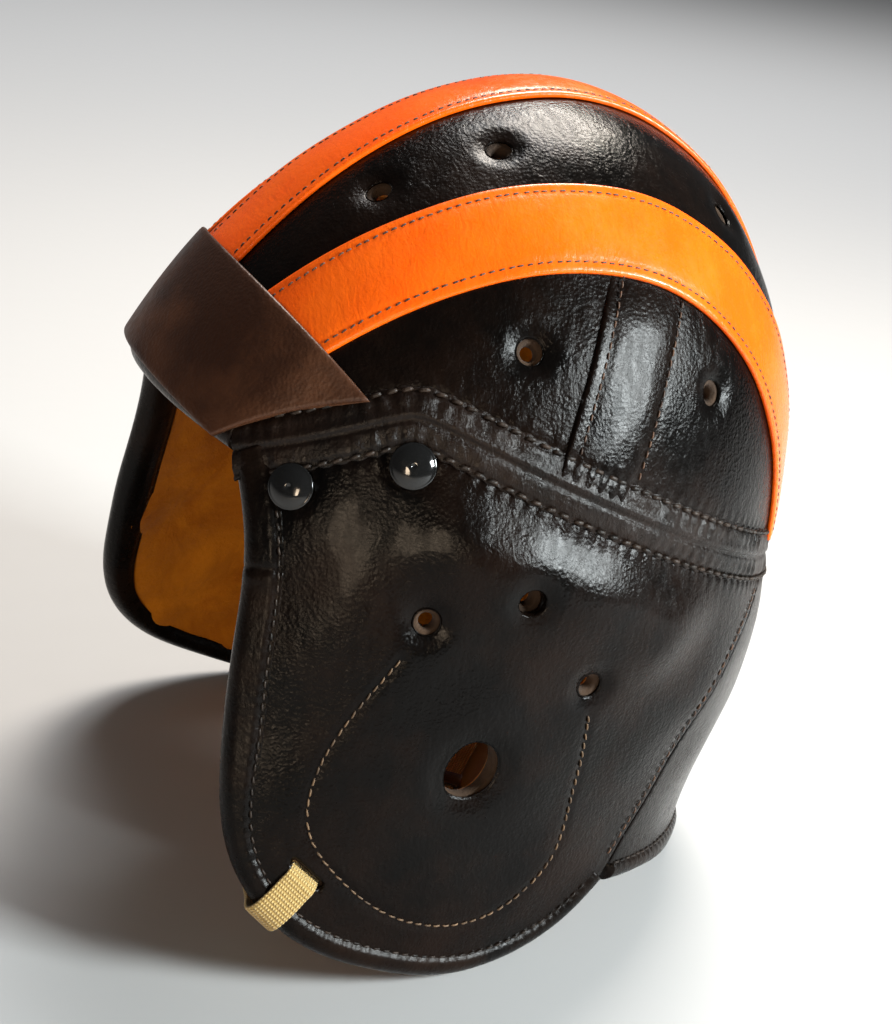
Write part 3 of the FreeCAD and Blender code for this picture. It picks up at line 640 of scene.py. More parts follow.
def inset(line, distance):
    """A pattern line moved to its left."""
    ahead = unit(np.gradient(line, axis=0))
    return line + np.stack([-ahead[:, 1], ahead[:, 0]], -1) * distance


def cut(line, keep):
    return line[keep(line)]


flap_edge = on_wall(spline(FLAP_EDGE, 300))
rear_seam = on_wall(spline(REAR_SEAM, 200))
seam_track = wall_pattern(*seam_line(0).T)
ear_row = on_wall(spline(EAR_STITCHES, 160))
seam_rows = [seam_line(shift, first, 179.5) for shift, first in ((SEAM_ROW, 35), (-SEAM_ROW, 38))]
rear_row = cut(inset(rear_seam, -2.6), lambda line: (line[:, 1] < 144) & (line[:, 1] > 49))


def on_left(place):
    """Points, or their mirror images on the left side."""
    return np.stack([np.abs(place[:, 0]), place[:, 1], place[:, 2]], -1)


def dimpled(place, centres, radius, depth, reach):
    """Drop of the leather round holes or caps on both sides."""
    drop = np.zeros(len(place))
    for centre in np.vstack([centres, centres * [-1, 1, 1]]):
        drop += depth * bump(np.clip(np.linalg.norm(place - centre, axis=1) - radius, 0, None), reach)
    return -drop


def seam_wave(along):
    """Rise and fall of the leather between the main seam's stitches."""
    return np.cos(2 * math.pi * (along + 1.3 * np.sin(along / 17)) / SEAM_PITCH)


def puckered(place, size):
    """Leather drawn up between the stitches of the main seam, dying away from it."""
    far, along = nearest(on_left(place), seam_track)
    rise = size * seam_wave(along) * bump(np.clip(far - SEAM_ROW, 0, None), 3.4)
    return rise - 0.45 * bump(far - SEAM_ROW, 1.3)


crown_vents = crown(*np.array(TOP_VENTS + [FRONT_VENT, REAR_VENT], float).T)
flap_vents = wall_pattern(*on_wall(FLAP_VENTS).T)
ear_centre = wall_pattern(*on_wall([EAR_HOLE]).T)
snap_centres = wall_pattern(*on_wall(SNAPS).T)


def crown_height(place):
    return lumps(place) + dimpled(place, crown_vents, VENT_RADIUS, 1.2, 3.0) + puckered(place, 0.28)


def lap_rise(points):
    """How far the rear side panel and what lies on it stand up over the front panel's hidden hem."""
    behind = points[..., 1] - lap_line(points[..., 2])
    steep = smooth((np.abs(points[..., 0]) - 65.5) / 8)
    return LAP_RISE * steep * smooth((behind + 0.6) / 0.6) * (1 - smooth((behind - 19) / 9))


def groove(place, track, depth, reach):
    """Drop of the leather under a row of stitches."""
    return -depth * bump(nearest(on_left(place), track)[0], reach)


lap_rows = [np.stack([lap_line(z) + shift, z], -1) for z, shift in
            ((np.linspace(214, 161, 60), 4.0), (np.linspace(217, 161, 60), 25.5))]


def rear_side_height(place):
    height = crown_height(place) + lap_rise(place)
    for row in lap_rows:
        height += groove(place, side_pattern(*row.T), 0.3, 1.1)
    return height


def flap_height(place):
    height = lumps(place, 0.3) + dimpled(place, flap_vents, VENT_RADIUS, 1.5, 3.2)
    height += dimpled(place, ear_centre, EAR_RADIUS, 1.3, 4.0) + dimpled(place, snap_centres, 5.8, 0.6, 2.2)
    height += puckered(place, 0.32)
    height += groove(place, wall_pattern(*ear_row.T), 0.45, 1.3)
    height += groove(place, wall_pattern(*rear_row.T), 0.35, 1.2)
    round_ear = bump(np.linalg.norm(place[:, 1:] - [3, 55], axis=1), 36)
    height += 0.6 * smooth((110 - place[:, 2]) / 30) * round_ear
    far = nearest(on_left(place), seam_track)[0]
    puff = smooth((far - 8) / 18) * (1 - smooth((far - 28) / 22))
    return height + FLAP_PUFF * puff * smooth((place[:, 1] + 50) / 22) * (1 - smooth((place[:, 1] - 40) / 28))


def leather_back(place):
    return lumps(place) - LEATHER


# ---------------------------------------------------------------- leather panels
def stripe_line(first, last, count=160):
    turn = np.linspace(first, last, count)
    return np.stack([turn, stripe_latitude(turn)], -1)


def crown_turn(level, latitude):
    """Where the crown comes down to a level at a latitude."""
    return np.degrees(np.arccos((level - EQUATOR) / CROWN_RISE / np.cos(np.radians(latitude))))


def side_view(line):
    return crown(*line.T)[:, 1:]


def crown_top_loops():
    outer = stripe_line(CROWN_FRONT, -67.0)
    back = np.linspace(stripe_latitude(-67.0), 0.15, 14)[1:]
    hem = np.stack([-crown_turn(SEAM_LEVEL, back), back], -1)
    middle = np.stack([np.linspace(hem[-1, 0], 81.9, 150)[1:], np.full(149, 0.15)], -1)
    outline = even_loop(np.vstack([outer, hem, middle]) * CROWN_SCALES, 1.3)
    centres = np.array(TOP_VENTS) * CROWN_SCALES
    return [outline] + [hole(crown_pattern, centre, ring(VENT_RADIUS)) for centre in centres]


def side_loops(front):
    """Front or rear side panel on the side view."""
    if front:
        vent = FRONT_VENT
        stripe = side_view(stripe_line(CROWN_FRONT, -2.0, 300))
        stripe = cut(stripe, lambda line: line[:, 0] < lap_line(line[:, 1]) + LAP_UNDER)
        foot = np.linspace(lap_line(SEAM_LEVEL) + LAP_UNDER, -88.4, 90)
    else:
        vent = REAR_VENT
        stripe = side_view(stripe_line(CROWN_BACK, 20.0, 300))
        stripe = cut(stripe, lambda line: line[:, 0] > lap_line(line[:, 1]))
        foot = np.linspace(lap_line(SEAM_LEVEL), side_view(stripe_line(CROWN_BACK, -66.4, 2))[0, 0] - 0.4, 90)
    loop = np.vstack([stripe, np.stack([foot, seam_height(foot) + 0.5], -1)])
    return [even_loop(loop, 1.2), hole(side_pattern, crown(*vent)[1:], ring(VENT_RADIUS))]


def flap_outline(reach):
    """The flap's outline, its free edge moved in by reach."""
    edge = inset(flap_edge, reach)
    seam = seam_line(-0.5, 33.6, 150)
    rear = cut(rear_seam, lambda line: (line[:, 1] < 152.6) & (line[:, 1] > edge[-1, 1] + 0.6))
    seam = seam[(seam[:, 0] < rear[0, 0]) & (seam[:, 0] > edge[0, 0] + 1)]
    return even_loop(np.vstack([edge, rear[::-1], seam[::-1]]), 1.2)


def slit_loop():
    offsets = np.array([(-1.1, -5.6), (-1.1, 5.6), (0, 6.3), (1.1, 5.6), (1.1, -5.6), (0, -6.3)])
    return hole(wall_pattern, on_wall([SLIT])[0], offsets, STRAP_DOWN)


def flap_loops(reach, vent_radius, slit=False):
    loops = [flap_outline(reach)]
    loops += [hole(wall_pattern, centre, ring(vent_radius)) for centre in on_wall(FLAP_VENTS)]
    loops.append(hole(wall_pattern, on_wall([EAR_HOLE])[0], ring(EAR_RADIUS, 60)))
    return loops + ([slit_loop()] if slit else [])


def neck_loop(reach):
    seam = cut(rear_seam, lambda line: (line[:, 1] < 152.8) & (line[:, 1] > 45 + reach))
    turn = np.linspace(NECK_CORNER_TURN + 2, 357 - NECK_CORNER_TURN, 80)
    edge = np.stack([turn * WALL_SCALE, neck_edge(turn) + reach], -1)
    edge = edge[(edge[:, 0] > seam[-1, 0] + 0.5) & (edge[:, 0] < 360 * WALL_SCALE - seam[-1, 0] - 0.5)]
    other = (seam * [-1, 1] + [360 * WALL_SCALE, 0])[::-1]
    return [even_loop(np.vstack([seam, edge, other]), 1.5)]


def neck_height(place):
    return lumps(place) + puckered(place, 0.28)


SIDES = (("left", 1), ("right", -1))


def hide(name, surface, loops, outer, spacing, node, side=1, inner=leather_back):
    """A panel of the black leather that stands for one CAD node."""
    panel(name, surface, loops, outer, inner, spacing, SHELL, "black_leather", side, stands_for=[node])


def rear_side_back(place):
    return rear_side_height(place) - 1.6


for label, side in SIDES:
    hide("leather_top_" + label, crown_pattern, crown_top_loops(), crown_height, 1.6,
         "crown_top_" + label, side)
    hide("leather_front_" + label, side_pattern, side_loops(True), crown_height, 1.3,
         "crown_side_front_" + label, side)
    hide("leather_rear_" + label, side_pattern, side_loops(False), rear_side_height, 1.3,
         "crown_side_rear_" + label, side, rear_side_back)
    hide("leather_flap_" + label, wall_pattern, flap_loops(3.0, VENT_RADIUS, side > 0), flap_height, 1.15,
         "ear_flap_" + label, side)
hide("leather_neck", wall_pattern, neck_loop(3.0), neck_height, 1.6, "neck_panel")


# ---------------------------------------------------------------- felt and suede inside
def pad_back(place):
    return lumps(place) + PAD_OUTER - 0.15


def pillow(tufts):
    """Inner face of a padded layer: soft, uneven and drawn in round its holes."""
    def inner(place):
        return LINING_INNER - 0.5 * lumps(place * 1.7, 1.0) - dimpled(place, tufts, 4.0, 0.8, 5.0)
    return inner


def crown_lining_loops():
    """The lining's outline on the crown, from the brow round the seam to the back, then its vents."""
    brow = np.linspace(-1, 1, 60)
    y = np.linspace(-88.0, 103.5, 260)
    left = side_pattern(y, seam_height(y) + 1.0)
    left = np.stack([np.degrees(np.arctan2(-left[:, 1] / np.where(left[:, 1] < 0, FRONT_DEPTH, BACK_DEPTH),
                                           (left[:, 2] - EQUATOR) / CROWN_RISE)),
                     np.degrees(np.arcsin(left[:, 0] / HALF_WIDTH))], -1)
    low, end = brow * left[0, 1], brow * left[-1, 1]
    front = np.stack([crown_turn(BROW_LEVEL + 3.4, low), low], -1)
    back = np.stack([-crown_turn(SEAM_LEVEL + 1, end), -end], -1)
    loop = np.vstack([front[:-1], left, back[1:-1], (left * [1, -1])[::-1][:-1]])
    loops = [even_loop(loop * CROWN_SCALES, 2.2)]
    for turn, latitude in TOP_VENTS + [FRONT_VENT, REAR_VENT]:
        for side in (1, -1):
            centre = np.array([turn, latitude * side]) * CROWN_SCALES
            loops.append(hole(crown_pattern, centre, ring(PAD_VENT_RADIUS, 24)))
    return loops


def padding(name, surface, loops, tufts, spacing, side=1, edge=1.4, **rest):
    """A quilted layer of felt and suede."""
    # The felt goes on the back and the rims; on the rims round the vents its dark colour is painted shade for the
    # inside of the vents.
    made = panel(name, surface, loops, pad_back, pillow(tufts), spacing, SUEDE, "suede_lining", side, edge,
                 FELT_AND_VENT_SHADE, **rest)


padding("padding_crown", crown_pattern, crown_lining_loops(), crown_vents, 2.6, edge=1.6,
        stands_for=["crown_pad", "crown_lining"])
for label, side in SIDES:
    padding("padding_flap_" + label, wall_pattern, flap_loops(3.4, PAD_VENT_RADIUS), flap_vents, 2.2, side,
            stands_for=["flap_pad_" + label, "flap_lining_" + label])
padding("padding_neck", wall_pattern, neck_loop(3.6), crown_vents, 2.4,
        stands_for=["neck_pad", "neck_lining"])


# ---------------------------------------------------------------- stripes and forehead band
def per_latitude(turn, latitude):
    """Millimetres to a degree of latitude on the crown."""
    return np.linalg.norm(crown(turn, latitude + 0.5) - crown(turn, latitude - 0.5), axis=-1)


def stripe_grid(first, last, middle):
    """Sections of a stripe: rounded edges, a shallow groove under each stitch row."""
    turn = np.linspace(first, last, 300)
    half = STRIPE_WIDTH / 2
    across = np.r_[-half, -half + 0.05, -half + 0.35, -half + 0.9, np.linspace(-half + 1.8, half - 1.8, 21)]
    across = np.r_[across, -across[3::-1]]
    height = 1.75 - 0.28 * bump(np.abs(across) - half + STRIPE_ROW_IN, 0.9)
    height = height + 0.1 * np.cos(across / half * 1.4)
    height[[0, -1]], height[[1, -2]], height[[2, -3]] = 0.4, 1.2, 1.6
    across, height = np.r_[across, half - 0.3, -half + 0.3], np.r_[height, 0.1, 0.1]
    latitude = middle(turn)
    scale = per_latitude(turn, latitude)
    turn, across = np.broadcast_arrays(turn[:, None], across[None])
    latitude = latitude[:, None] + across / scale[:, None]
    return lift(crown, turn, latitude, height + lumps(crown(turn, latitude)))


def stripe_rows(first, last, middle, side):
    """The two rows of stitches down a stripe, ready for stitched()."""
    turn = np.linspace(first, last, 300)
    latitude = middle(turn)
    reach = (STRIPE_WIDTH / 2 - STRIPE_ROW_IN) / per_latitude(turn, latitude)
    return [(crown, np.stack([turn, latitude + shift * reach], -1), 1.5, side) for shift in (-1, 1)]


def centre_line(turn):
    return 0 * turn


rows = stripe_rows(STRIPE_FRONT_END - 1, -64.5, centre_line, 1)
tube("stripe_middle", stripe_grid(STRIPE_FRONT_END, -65.2, centre_line), ORANGE, "orange_leather",
     stands_for=["stripe_centre"])
for label, side in SIDES:
    tube("stripe_side_" + label, stripe_grid(STRIPE_FRONT_END, -62.8, stripe_latitude) * [side, 1, 1], ORANGE,
         "orange_leather", stands_for=["stripe_" + label])
    rows += stripe_rows(STRIPE_FRONT_END - 1, -62.2, stripe_latitude, side)
stitching("stitches_stripes", rows, 2.7, 2.0, 0.28, THREAD_BROWN, "orange_leather")


def band_grid():
    """The forehead band: sections across it, from its left tip to its right one."""
    share = np.r_[0, 0.004, 0.015, 0.04, np.linspace(0.08, 0.92, 16), 0.96, 0.985, 0.996, 1]
    round_off = np.r_[0.9, 0.35, 0.1, 0, np.zeros(16), 0, 0.1, 0.35, 0.9]
    a, b = np.linspace(-1, 1, 220)[:, None], share[None]
    latitude = a * (BAND_END_TOP + (BAND_END_FOOT - BAND_END_TOP) * b)
    top = BAND_TOP + (BAND_SIDE_TOP - BAND_TOP) * (latitude / BAND_END_TOP) ** 2
    turn = top + (BAND_FOOT - top) * b
    lie = 3.5 - 1.2 * smooth((np.abs(latitude) - 33) / 8)
    tip = 0.9 * (1 - np.sqrt(np.clip(1 - np.clip((np.abs(a) - 0.99) / 0.01, 0, 1) ** 2, 0, 1)))
    base = crown(turn, latitude)
    outer = lift(crown, turn, latitude, lie - round_off - tip + 0.4 * lumps(base))
    under = lift(crown, turn, latitude, lie - 2.0 + 0.4 * lumps(base))[:, ::-1]
    return np.concatenate([outer, under[:, 2:-2]], axis=1)


tube("band", band_grid(), BAND, "brown_leather", stands_for=["forehead_band"])


# ---------------------------------------------------------------- main seam
def welt_grid(side):
    """Puckered ridge over the main seam, with a crease along its middle."""
    turn = np.linspace(SEAM_FIRST + 0.1, SEAM_LAST, 620)
    across = np.r_[-8.7, -8.2, np.linspace(-SEAM_ROW, SEAM_ROW, 21), 8.2, 8.7]
    shape = 1.05 * np.clip(1 - (across / 9) ** 2, 0, 1) ** 0.55 + 0.5 * bump(across - 1.0, 1.3) \
        - 0.9 * bump(across + 0.7, 0.6) - 0.6 * bump(np.abs(across) - 7.4, 1.1)
    shape[[0, -1]], shape[[1, -2]] = -0.3, 0.25
    seam_turns = np.linspace(SEAM_FIRST, SEAM_LAST, SEAM_STATIONS)
    t = np.interp(turn, seam_turns, lengths(seam_track))
    u, v = (np.interp(turn, seam_turns, column) for column in seam_line(0).T)
    wave = seam_wave(t)[:, None]
    wide = across + 0.35 * np.sign(across) * wave * (np.abs(across) > 8)
    up = across_line(wall_pattern, u, v)
    u, v = slide(wall_pattern, u[:, None], v[:, None], up[:, None], wide)
    uneven = (0.6 + 0.5 * np.sin(t / 9.0 + 3 * np.sin(t / 31)))[:, None]
    rough = 0.3 * np.sin(t / 2.3 + 2 * np.sin(t / 11))[:, None]
    ridge = bump(np.abs(across) - 5.0, 2.4)
    height = shape + ridge * (0.28 * wave * uneven + rough * 0.6) + lumps(wall_pattern(u, v) * [side, 1, 1])
    outer = lift(wall_pattern, u, v, height)
    under = lift(wall_pattern, u[:, [-1, 0]], v[:, [-1, 0]], np.full((len(turn), 2), -0.9))
    return np.concatenate([outer, under], axis=1) * [side, 1, 1]


rows = []
for label, side in SIDES:
    tube("welt_" + label, welt_grid(side), WELT, "welt_leather", stands_for=["seam_welt_" + label])
    rows += [(wall_pattern, row, 0.35, side) for row in seam_rows]
stitching("stitches_seam", rows, SEAM_PITCH, 3.4, 0.62, THREAD_BLACK, "welt_leather")


# ---------------------------------------------------------------- rolled bindings
def into_panel(line):
    """Directions along the wall to the left of an edge line, where its panel lies."""
    return unit(np.cross(normals(wall_pattern, *line.T), np.gradient(wall_pattern(*line.T), axis=0)))


def bead(line, lip, side=1, crease=None):
    """Binding rolled round an edge. lip is how far in the stitched hem lies at each station of the line."""
    hem = np.linspace(1.2, 0, 14)[:, None]
    reach = 5.5 + (lip[None] - 5.5) * hem
    outer = 1.25 - 1.1 * smooth((reach - lip[None] + 2.4) / 3.0) - 0.25 * bump(reach - lip[None], 0.9)
    angle = np.linspace(math.pi / 2, -math.pi / 2, 19)[1:-1, None] + 0 * lip[None]
    arc_reach, arc_height = 5.5 - 5.5 * np.cos(angle), -4.1 + 5.4 * np.sin(angle)
    inner = -9.5 + 0.9 * smooth((reach - lip[None] + 3) / 4)
    reach = np.concatenate([reach, arc_reach, reach[::-1]]).T
    height = np.concatenate([outer, arc_height, inner[::-1]]).T
    place = lengths(wall_pattern(*line.T))[:, None]
    pucker = 0.13 * np.cos(2 * math.pi * (place + np.sin(place / 13)) / 3.6)
    soft = smooth(reach / 4) * smooth((height + 4) / 4)
    height = height + pucker * bump(reach - lip[:, None], 2.4) * soft
    if crease is not None:
        dent = 0.55 * bump(place - crease, 0.8) - 0.3 * bump(place - crease - 2.6, 1.8)
        height = height - dent * smooth((height + 9) / 6)
    u, v = slide(wall_pattern, line[:, :1], line[:, 1:], into_panel(line)[:, None], reach)
    height = height + lumps(wall_pattern(u, v) * [side, 1, 1]) * smooth((height + 4) / 4)
    return lift(wall_pattern, u, v, height) * [side, 1, 1]


def flap_lip(line):
    """The stitched hem is wide down the front and narrower along the bottom."""
    return 8.0 + 3.4 * smooth((line[:, 1] - 10) / 45) * (wall_pattern(*line.T)[:, 1] < 0)


def hem_row(line, lip):
    """The row of stitches along a binding's hem."""
    return np.stack(slide(wall_pattern, *line.T, into_panel(line), lip), -1)


edge_line = resampled(on_wall(spline(FLAP_EDGE, 420)), 0.75)
turns = np.linspace(NECK_CORNER_TURN + 0.6, 359.4 - NECK_CORNER_TURN, 260)
neck_line = np.stack([turns * WALL_SCALE, neck_edge(turns)], -1)
turns = np.linspace(-32.2, 32.2, 150)
brow_line = np.stack([turns * WALL_SCALE, np.full(150, BROW_LEVEL)], -1)
fine_rows = []
for label, side in SIDES:
    lip = flap_lip(edge_line)
    tube("binding_flap_" + label, bead(edge_line, lip, side, crease=31 if side > 0 else None), EDGE,
         "binding_leather", stands_for=["flap_binding_" + label])
    fine_rows.append((wall_pattern, hem_row(edge_line, lip)[14:-6], 0.05, side))
for place, line in (("neck", neck_line), ("brow", brow_line)):
    lip = np.full(len(line), 8.0)
    tube("binding_" + place, bead(line, lip), EDGE, "binding_leather", stands_for=[place + "_binding"])
    fine_rows.append((wall_pattern, hem_row(line, lip), 0.05, 1))
stitching("stitches_binding", fine_rows, 3.4, 2.5, 0.34, THREAD_BLACK, "binding_leather")

ear_rows, seam_side_rows = [], []
for label, side in SIDES:
    ear_rows.append((wall_pattern, ear_row, -0.15, side))
    seam_side_rows.append((wall_pattern, rear_row, 0.0, side))
    for k, row in enumerate(lap_rows):
        seam_side_rows.append((side_pattern, row, LAP_RISE - 0.2 if k == 0 else 0.1, side))
stitching("stitches_ear", ear_rows, 3.2, 2.5, 0.3, THREAD_TAN, "black_leather")
stitching("stitches_sides", seam_side_rows, 3.0, 2.2, 0.28, THREAD_BROWN, "black_leather")


# ---------------------------------------------------------------- snaps
def turned(profile, centre, normal):
    """A profile of (radius, height) turned about a normal."""
    first = unit(np.cross(normal, [0, 0, 1]))
    second = np.cross(normal, first)
    x, y = ring(1, 48).T[:, :, None]
    radial, profile = x * first + y * second, np.array(profile)
    return centre + radial[:, None] * profile[:, :1] + normal * profile[:, 1:]


CAP = [(0.02, 2.9), (1.5, 2.85), (3.0, 2.62), (4.2, 2.24), (5.1, 1.76), (5.5, 1.5), (5.7, 1.36), (5.95, 1.3),
       (6.3, 1.2), (6.45, 0.9), (6.4, 0.45), (6.1, -0.3), (0.02, -0.3)]
for label, side in SIDES:
    points, faces = [], []
    for spot in on_wall(SNAPS):
        u, v = spot[:1], spot[1:]
        grid = turned(CAP, wall_pattern(u, v)[0], normals(wall_pattern, u, v)[0]) * [side, 1, 1]
        faces += tube_faces(*grid.shape[:2], True, first=sum(len(p) for p in points))
        points.append(grid.reshape(-1, 3))
    piece("caps_" + label, np.vstack(points), faces, ENAMEL, "black_enamel",
          stands_for=["snap_caps_" + label])
    for node in ("snap_posts_", "snap_washers_"):
        frame["nodes"][node + label].data.materials.clear()
        frame["nodes"][node + label].data.materials.append(STEEL)


# ---------------------------------------------------------------- chin strap, keeper and buckle
swing = joints["chin_strap_swing"]
hinge = head(swing["pos_m"])
pin = head_direction(swing["axis"])
inward = -normals(wall_pattern, *on_wall([[hinge[1], hinge[2]]]).T)[0]


def strap_line():
    """Middle line of the webbing: out of the slit, over the binding, round the edge and on to the floor."""
    start = on_wall([SLIT])[0]
    normal = normals(wall_pattern, start[:1], start[1:])[0]
    down = unit(STRAP_DOWN - normal * STRAP_DOWN.dot(normal))
    reach = np.array([0.0, 1.2, 2.6, 5.0, 8.0, 11.0, 14.0, 16.0])
    height = np.array([-3.0, -0.6, 0.9, 1.3, 1.9, 2.35, 2.3, 1.9])
    u, v = slide(wall_pattern, start[:1] + 0 * reach, start[1:] + 0 * reach, down, reach)
    flat = lift(wall_pattern, u, v, height)
    run_start, run_end = (head(np.array(point) / 1000) for point in (STRAP_RUN_START, STRAP_RUN_END))
    turn = [hinge - down * back + inward * reach for back, reach in ((1.9, 1.9), (0.9, 5.0), (1.1, 9.0))]
    return flat, turn, run_start, run_end


def cloth_uv(across, place):
    """Coordinates in mm across and along a ribbon, point by point."""
    return np.stack([np.tile(across, len(place)), np.repeat(place, len(across))], -1)


def strap_grid():
    """The webbing as one ribbon, with rounded selvedges."""
    flat, turn, run_start, run_end = strap_line()
    run = unit(run_end - run_start)
    under, landing = turn[-1] + inward * 14, run_start - run * 26
    bend = spline(np.vstack([flat, turn, under - [0, 0, 0.5], (under + landing) / 2,
                             landing + head_direction((0, 0, 4)), run_start]), 420)
    straight = run_start + run * np.linspace(0.6, np.linalg.norm(run_end - run_start), 110)[:, None]
    line = resampled(np.vstack([bend, straight]), 0.6)
    ahead = unit(np.gradient(line, axis=0))
    level = np.cross(head_direction((0, 0, 1)), run)
    level *= np.sign(level.dot(pin))
    share = smooth((lengths(line) - 24) / 90)[:, None]
    wide = pin * (1 - share) + level * share
    wide = unit(wide - ahead * np.sum(wide * ahead, -1, keepdims=True))
    normal = np.cross(ahead, wide)
    half, thick = STRAP_WIDTH / 2, STRAP_THICKNESS / 2
    across = np.r_[-half, -half + 0.15, -half + 0.6, np.linspace(-half + 1.2, half - 1.2, 15),
                   half - 0.6, half - 0.15, half]
    section = thick * np.r_[0.2, 0.7, 0.95, np.ones(15), 0.95, 0.7, 0.2]
    across, section = np.r_[across, across[::-1]], np.r_[section, -section[::-1]]
    place = lengths(line)
    rib = 0.1 * np.cos(2 * math.pi * place / RIB_PITCH)[:, None] * np.sign(section)
    grid = line[:, None] + wide[:, None] * across[:, None] + normal[:, None] * (section + rib)[..., None]
    return grid, cloth_uv(across, place), run


grid, uv, run = strap_grid()
strap = tube("strap", grid, WEBBING, "tan_webbing", uv=uv, ride=False, stands_for=["strap_tab", "chin_strap"])
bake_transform(strap)


def keeper_grid():
    """Leather loop round the strap: sections along it of a rounded flat ring."""
    middle = head(np.array(STRAP_RUN_START) / 1000) + run * KEEPER_AT
    level = np.cross(head_direction((0, 0, 1)), run)
    up = np.cross(run, level)
    angle = np.linspace(0, 2 * math.pi, 65)[:-1]
    flat = np.stack([np.sign(np.cos(angle)) * np.abs(np.cos(angle)) ** 0.35,
                     np.sign(np.sin(angle)) * np.abs(np.sin(angle)) ** 0.35], -1)
    sections = []
    half_profile = [(-3.4, 0.5), (-3.95, 0.75), (-4, 1.0), (-3.6, 1.5)]
    for along, grow in half_profile + [(-along, grow) for along, grow in half_profile[::-1]]:
        across, height = STRAP_WIDTH / 2 + grow, STRAP_THICKNESS / 2 + grow
        sections.append(middle + run * along + level * flat[:, :1] * across + up * flat[:, 1:] * height)
    return np.array(sections)


tube("keeper", keeper_grid(), KEEPER, "keeper_leather", closed=True, body="keeper",
     stands_for=["strap_keeper"])


def wire(name, line, radius, flat, closed=False, **rest):
    """A round steel wire along a line that lies in a plane; flat is the plane's normal."""
    ahead = unit(np.roll(line, -1, 0) - np.roll(line, 1, 0) if closed else np.gradient(line, axis=0))
    normal = unit(np.cross(ahead, flat))
    other = np.cross(ahead, normal)
    x, y = ring(radius, 16).T[:, :, None]
    grid = line[:, None] + (x * normal[:, None] + y * other[:, None])
    return tube(name, grid, STEEL, "nickel", closed, body="buckle", **rest)


buckle = joints["buckle_swing"]
bar = head(buckle["pos_m"])
bar_axis = head_direction(buckle["axis"])
bar_normal = normals(wall_pattern, *on_wall([[bar[1], bar[2]]]).T)[0] * [-1, 1, 1]
bar_normal = unit(bar_normal - bar_axis * bar_normal.dot(bar_axis))
bar_down = np.cross(bar_normal, bar_axis)
bar_down *= -1 if bar_down[2] > 0 else 1


def rounded_frame():
    """The buckle's frame as a rectangle with round corners, hanging from its bar's line."""
    line = []
    for k, (x, y) in enumerate(((-1, 0), (1, 0), (1, 1), (-1, 1))):
        x, y = x * BUCKLE_HALF, y * BUCKLE_LENGTH
        centre = np.array([x - math.copysign(BUCKLE_BEND, x), y + (BUCKLE_BEND if y == 0 else -BUCKLE_BEND)])
        first = math.radians((180 + 90 * k) % 360)
        angle = np.linspace(first, first + math.pi / 2, 9)[:, None]
        line.append(centre + BUCKLE_BEND * np.hstack([np.cos(angle), np.sin(angle)]))
    line = np.vstack(line)
    return bar + bar_axis * line[:, :1] + bar_down * line[:, 1:]


wire("buckle_frame_wire", even_loop(rounded_frame(), 0.6), WIRE_RADIUS, bar_normal, True,
     stands_for=["buckle_frame"])
across = np.linspace(-BUCKLE_HALF, BUCKLE_HALF, 12)[:, None]
wire("buckle_middle_bar", bar + bar_down * BUCKLE_BAR + bar_axis * across, BAR_RADIUS, bar_normal)


def loop_grid():
    """Webbing loop that holds the buckle's bar: up the flap, round the bar and back on itself."""
    angle = np.linspace(-0.15 * math.pi, 1.0 * math.pi, 22)
    radius = WIRE_RADIUS + 0.1 + 0.65
    wrap = [bar + bar_down * radius * math.sin(a) + bar_normal * radius * math.cos(a) for a in angle]
    u, v = on_wall([[bar[1], bar[2]]])[0]
    up = -bar_down * [-1, 1, 1]
    reach = np.array([3.2, 6.0, 9.5, 13.0, 15.5])
    u, v = slide(wall_pattern, u + 0 * reach, v + 0 * reach, up, reach)
    outer = lift(wall_pattern, u, v, np.array([3.3, 2.7, 2.4, 2.35, 1.9])) * [-1, 1, 1]
    inner = lift(wall_pattern, u, v, np.array([1.0, 0.95, 0.95, 0.95, 0.95])) * [-1, 1, 1]
    line = resampled(spline(np.vstack([outer[::-1], wrap[2:], inner]), 240), 0.4)
    normal = np.cross(unit(np.gradient(line, axis=0)), bar_axis)
    half, thick = STRAP_WIDTH / 2 - 0.3, 0.6
    across = np.r_[-half, -half + 0.4, np.linspace(-half + 1, half - 1, 11), half - 0.4, half]
    section = thick * np.r_[0.3, 0.85, np.ones(11), 0.85, 0.3]
    across, section = np.r_[across, across[::-1]], np.r_[section, -section[::-1]]
    grid = line[:, None] + bar_axis * across[:, None] + normal[:, None] * section[:, None]
    return grid, cloth_uv(across, lengths(line))


grid, uv = loop_grid()
tube("buckle_webbing", grid, WEBBING, "tan_webbing", uv=uv, stands_for=["buckle_loop"])


# ---------------------------------------------------------------- stage, light and camera
def area(name, place, target, size, power, colour):
    light = bpy.data.lights.new(name, "AREA")
    light.shape = "RECTANGLE"
    light.size, light.size_y = size
    light.energy = power
    light.color = colour
    made = bpy.data.objects.new(name, light)
    bpy.context.scene.collection.objects.link(made)
    made.location = place
    made.rotation_mode = "QUATERNION"
    made.rotation_quaternion = (Vector(target) - Vector(place)).to_track_quat("-Z", "Y")


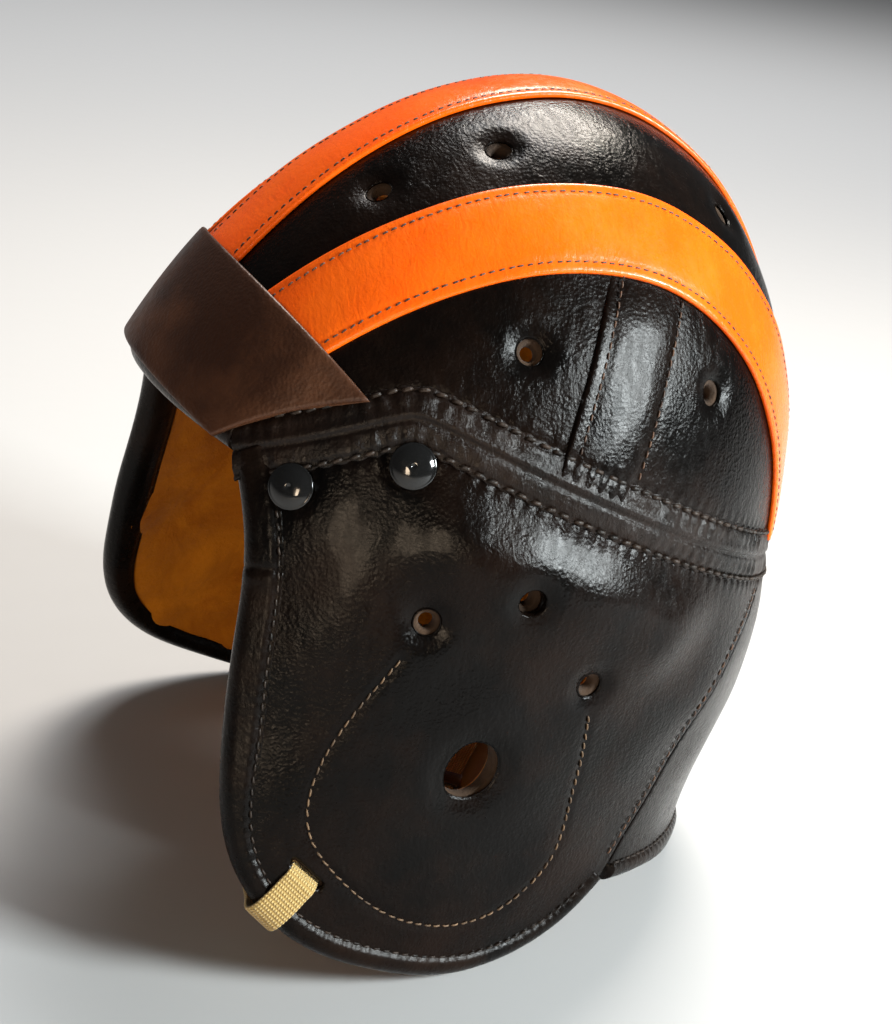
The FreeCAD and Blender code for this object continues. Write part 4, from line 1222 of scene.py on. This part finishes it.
def floor_look(add, link, shader):
    place = add("TexCoord").outputs["Object"]
    grain = add("TexNoise", Scale=60.0, Detail=4.0)
    link(place, grain.inputs["Vector"])
    link(ranged(add, link, grain.outputs["Fac"], 0.3, 0.7, 0.75, 0.85), shader.inputs["Roughness"])


wide = 6.0
mesh = bpy.data.meshes.new("floor")
mesh.from_pydata([(-wide, -wide, 0), (wide, -wide, 0), (wide, wide, 0), (-wide, wide, 0)], [], [(0, 1, 2, 3)])
mesh.materials.append(material("floor", floor_look, Base_Color=(0.44, 0.44, 0.44, 1)))
floor = bpy.data.objects.new("floor", mesh)
bpy.context.scene.collection.objects.link(floor)

world = bpy.data.worlds.new("studio")
bpy.context.scene.world = world
world.use_nodes = True
world.node_tree.nodes["Background"].inputs["Color"].default_value = (0.93, 0.96, 1.0, 1)
world.node_tree.nodes["Background"].inputs["Strength"].default_value = 0.09

CAMERA_PLACE = Vector((0.4720, -0.2168, 0.3168))
CAMERA_RIGHT = Vector((0.3647, 0.9219, 0.1307)).normalized()
CAMERA_BACK = Vector((0.8446, -0.3867, 0.3703)).normalized()
CAMERA_UP = CAMERA_BACK.cross(CAMERA_RIGHT).normalized()
CENTRE = Vector((0, 0, 0.13))

area("top", CENTRE + Vector((-0.40, 0.36, 0.84)) * 1.1, CENTRE, (0.42, 0.30), 12.0, (1.0, 0.87, 0.72))
area("side", CENTRE + Vector((0.68, 0.63, 0.38)) * 1.0, CENTRE, (0.26, 0.26), 24.0, (0.9, 0.97, 0.98))
area("front", CENTRE + Vector((0.84, -0.53, 0.13)) * 1.1, CENTRE, (0.16, 0.3), 3.4, (1.0, 0.78, 0.56))
area("wash", Vector((-1.6, 1.0, 3.0)), Vector((-1.3, 0.6, 0)), (1.6, 1.6), 130.0, (1.0, 1.0, 1.0))

camera = bpy.data.objects.new("camera", bpy.data.cameras.new("camera"))
bpy.context.scene.collection.objects.link(camera)
camera.data.sensor_width, camera.data.lens = 36.0, 59.38
camera.data.clip_start = 0.01
turned_to = Matrix((CAMERA_RIGHT, CAMERA_UP, CAMERA_BACK)).transposed()
camera.matrix_world = Matrix.Translation(CAMERA_PLACE) @ turned_to.to_4x4()
bpy.context.scene.camera = camera
bpy.context.scene.view_settings.view_transform = "Standard"
